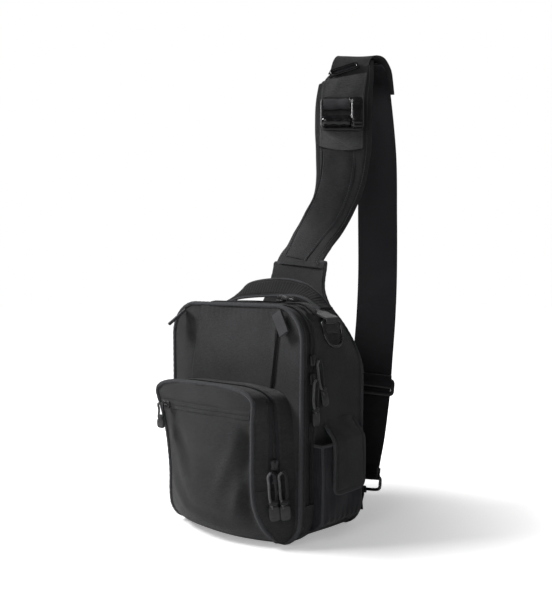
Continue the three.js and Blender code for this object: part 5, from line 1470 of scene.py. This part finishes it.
buckle_half_wide, buckle_half_high, buckle_corner = 27.0, 21.5, 5.0
buckle_behind = buckle_middle - out_way * 20
buckle_ring = resample(frame_path(buckle_half_wide, buckle_half_high, buckle_corner, 0.6), 1.5, True)
add_rod("strap_buckle_frame", buckle_ring, out_way, round_profile(2.2, 14, 1.15), matte_black,
        "gloss_plastic", ["strap_buckle"], ring=True)
bed_wide, bed_high = buckle_half_wide - 3.0, buckle_half_high - 2.5
plate_x, plate_y = np.meshgrid(np.linspace(-bed_wide, bed_wide, 40), np.linspace(-bed_high, bed_high, 40))
plate = in_axes(buckle_frame, plate_x, plate_y, 0 * plate_x - 0.8)
add_skin("strap_buckle_bed", plate, matte_black, "gloss_plastic", wall=1.0, centre=buckle_behind)
wrap_foot, wrap_head = 5.5, 21.0
wrap_y = np.linspace(wrap_foot, wrap_head, 30)
wrap_share = np.clip((wrap_y - wrap_foot) / (wrap_head - wrap_foot), 0, 1)
wrap_rise = 1.4 + 3.6 * np.sin(wrap_share * math.pi) ** 0.6
wrap_x = np.linspace(-25.5, 11.0, 30)
wrap = in_axes(buckle_frame, wrap_x[None] + 0 * wrap_y[:, None], wrap_y[:, None] + 0 * wrap_x[None],
               wrap_rise[:, None] + 0 * wrap_x[None])
add_skin("strap_buckle_webbing", wrap, grey_webbing, "webbing", wall=1.6, centre=buckle_behind,
         lift=ripples(wrap, 16.0, 0.3))
roller_line = in_axes(buckle_frame, np.linspace(-27.5, 12.0, 60), np.full(60, -12.0), np.full(60, 4.2))
roller_share = np.linspace(-1, 1, 60)
roller_radius = 8.0 * (1 - 0.3 * np.abs(roller_share) ** 10) + 0.2 * np.cos(roller_share * 9)
add_rod("buckle_roller", roller_line, up_way, round_profile(roller_radius, 28), polished_black,
        "gloss_plastic", ["buckle_bar"])
block_seat = in_axes(buckle_frame, [20.5], [-0.5], [4.6])[0]
soft_block("buckle_side_block", (block_seat, up_way, right_way, out_way, None), (22.0, 8.8, 6.4),
           polished_black, "gloss_plastic", square=0.45, nodes=["buckle_block"],
           ribs=lambda first, third: 0.1 * np.sin(first * 26) * (np.abs(first) < 0.8) * (third > 0.2))
# The bright wire is a painted highlight along the block's inner edge.
wire_y = np.linspace(20.0, -20.0, 50)
wire_x = 13.2 - 2.6 * np.exp(-((wire_y - 17) / 6) ** 2) + 0.8 * np.sin(wire_y / 6)
highlight_wire = in_axes(buckle_frame, wire_x, wire_y, 7.0 + 1.4 * np.cos(wire_y / 14))
add_rod("buckle_highlight_wire", highlight_wire, out_way, round_profile(1.0, 10), coated_metal_and_highlight, "gloss_plastic")


# The keeper near the fold: a flat moulded loop on the pad's end that the webbing passes through.
keeper_row = int(np.argmin(np.abs(pad_frames[0][:, 2] - 599.0)))
keeper_at, _, keeper_side, keeper_face = (values[keeper_row] for values in pad_frames[:4])
keeper_half_wide, keeper_half_high = 18.5, 3.8
keeper_axes = (keeper_at - keeper_side * 8.0 + keeper_face * 5.2, keeper_side,
               unit(np.cross(keeper_face, keeper_side)), keeper_face, None)


def squared_path(axes, half, powers, count, lift=0.0):
    """A closed line along a part's own directions: a circle's cosine and sine raised to powers
    below 1, which square it, each times half a size."""
    turn = np.linspace(0, 2 * math.pi, count + 1)[:-1]
    return in_axes(axes, bowed(np.cos(turn), powers[0]) * half[0], bowed(np.sin(turn), powers[1]) * half[1],
                   0 * turn + lift)


keeper_path = squared_path(keeper_axes, (keeper_half_wide, keeper_half_high), (0.3, 0.45), 96, 0.8)
add_rod("strap_keeper_loop", keeper_path, keeper_face, round_profile(1.6, 12, 1.1), polished_black,
        "matte_plastic", ["strap_keeper"], ring=True)
# A dark sheet across the loop's opening paints the shade inside its slot.
slot_wide, slot_high = keeper_half_wide - 1.0, keeper_half_high - 0.4
slot_x, slot_y = np.meshgrid(np.linspace(-slot_wide, slot_wide, 20), np.linspace(-slot_high, slot_high, 6))
add_skin("strap_keeper_slot_shade", in_axes(keeper_axes, slot_x, slot_y, 0 * slot_x), tape_and_shade_cloth, "matte_plastic",
         wall=0.6, centre=keeper_at - keeper_face * 20)


# The glide behind: a flat moulded frame with a middle bar, that the belt passes in front of.
glide_axes = node_axes("tri_glide", (0.65, -0.75, 0))
_, _, _, glide_out, glide_half = glide_axes
glide_path = squared_path(glide_axes, glide_half[:2] - 2.4, (0.22, 0.35), 120)
add_rod("tri_glide_frame", glide_path, glide_out, round_profile(1.7, 12, 1.45), matte_black,
        "matte_plastic", ["tri_glide"], ring=True)
glide_bar = in_axes(glide_axes, np.linspace(-1, 1, 30) * (glide_half[0] - 3), np.zeros(30), np.zeros(30))
add_rod("tri_glide_bar", glide_bar, glide_out, round_profile(1.5, 12, 1.6), matte_black, "matte_plastic")


# The ring at the strap's lower end: coated wire bent to a rectangle with round corners. The
# belt's folded end and the tab on the bag's corner go round its two long bars.
lower_axes = node_axes("lower_ring", (0, 1, 0))
_, _, _, lower_out, lower_half = lower_axes
lower_wire = 2.0
lower_path = squared_path(lower_axes, lower_half[:2] - lower_wire, (0.2, 0.4), 120)
add_rod("lower_ring_wire", lower_path, lower_out, round_profile(lower_wire), coated_metal_and_highlight, "ring_metal",
        ["lower_ring"], ring=True)


# The back pad: a foam cushion faced with air mesh, with two upright channels pressed into it.
def air_mesh(name, colour, pitch):
    """A spacer knit: a close lattice of small round holes, with painted shade inside them."""
    material, tree, shader = new_material(name, 0.9, Sheen_Weight=0.3, Sheen_Roughness=0.5)
    spot = add_node(tree, "ShaderNodeTexCoord")
    cells = add_node(tree, "ShaderNodeTexVoronoi", {"Vector": spot.outputs["Object"], "Scale": 1 / pitch,
                                                    "Randomness": 0.25})
    hole = add_node(tree, "ShaderNodeMapRange", {"Value": cells.outputs["Distance"], "From Min": 0.18,
                                                 "From Max": 0.5})
    tone = add_node(tree, "ShaderNodeMix", {"Factor": hole.outputs["Result"], 6: (0.004, 0.004, 0.005, 1),
                                            7: (*colour, 1)}, data_type="RGBA")
    tree.links.new(tone.outputs[2], shader.inputs["Base Color"])
    bump = add_node(tree, "ShaderNodeBump", {"Height": hole.outputs["Result"], "Strength": 0.8,
                                             "Distance": 0.0006})
    tree.links.new(bump.outputs["Normal"], shader.inputs["Normal"])
    return material


mesh_knit = air_mesh("air mesh", (0.024, 0.024, 0.028), 0.0026)
pad_inset = 9.0
pad_rows_z = mix(pad_inset + 1.0, height - pad_inset - 1.0, (1 - np.cos(np.linspace(0, math.pi, 120))) / 2)
pad_half = half_width(pad_rows_z, back_face, -pad_inset)
pad_cols = np.sin(np.linspace(-1, 1, 110) * math.pi / 2)
cushion_x = pad_half[:, None] * pad_cols[None]
cushion_z = np.broadcast_to(pad_rows_z[:, None], cushion_x.shape)
side_room = pad_half[:, None] - np.abs(cushion_x)
end_room = np.minimum(cushion_z - pad_inset, height - pad_inset - cushion_z)
room = np.minimum(side_room, end_room)
channel_place, channel_wide, cross_place, cross_wide, cushion_thick = 36.0, 7.0, 150.0, 5.0, 10.2
channel = np.exp(-((np.abs(cushion_x) - channel_place) / channel_wide) ** 4) * smooth(end_room / 30)
cross = np.exp(-((cushion_z - cross_place) / cross_wide) ** 4) * (np.abs(cushion_x) > 40)
cushion_rise = cushion_thick * (1 - np.exp(-room / 6.5)) * (1 - 0.52 * channel) * (1 - 0.25 * cross)
cushion_y = back_face + 0.6 + cushion_rise
cushion_grid = np.stack([cushion_x, cushion_y, cushion_z], -1)
cushion_piece = add_skin("back_pad_cushion", cushion_grid, mesh_knit, "pad_mesh", ["back_pad"], wall=2.0,
                         lift=ripples(cushion_grid, 40.0, 0.35) * smooth(room / 10), centre=[0, -40, 140])


# The two webbing folds at the belt's lower end, folded double and sewn, keep the shapes of
# their solids and take the belt's own weave.
for node in ("webbing_end", "lower_tab"):
    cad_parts[node].data.materials.clear()
    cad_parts[node].data.materials.append(black_webbing)
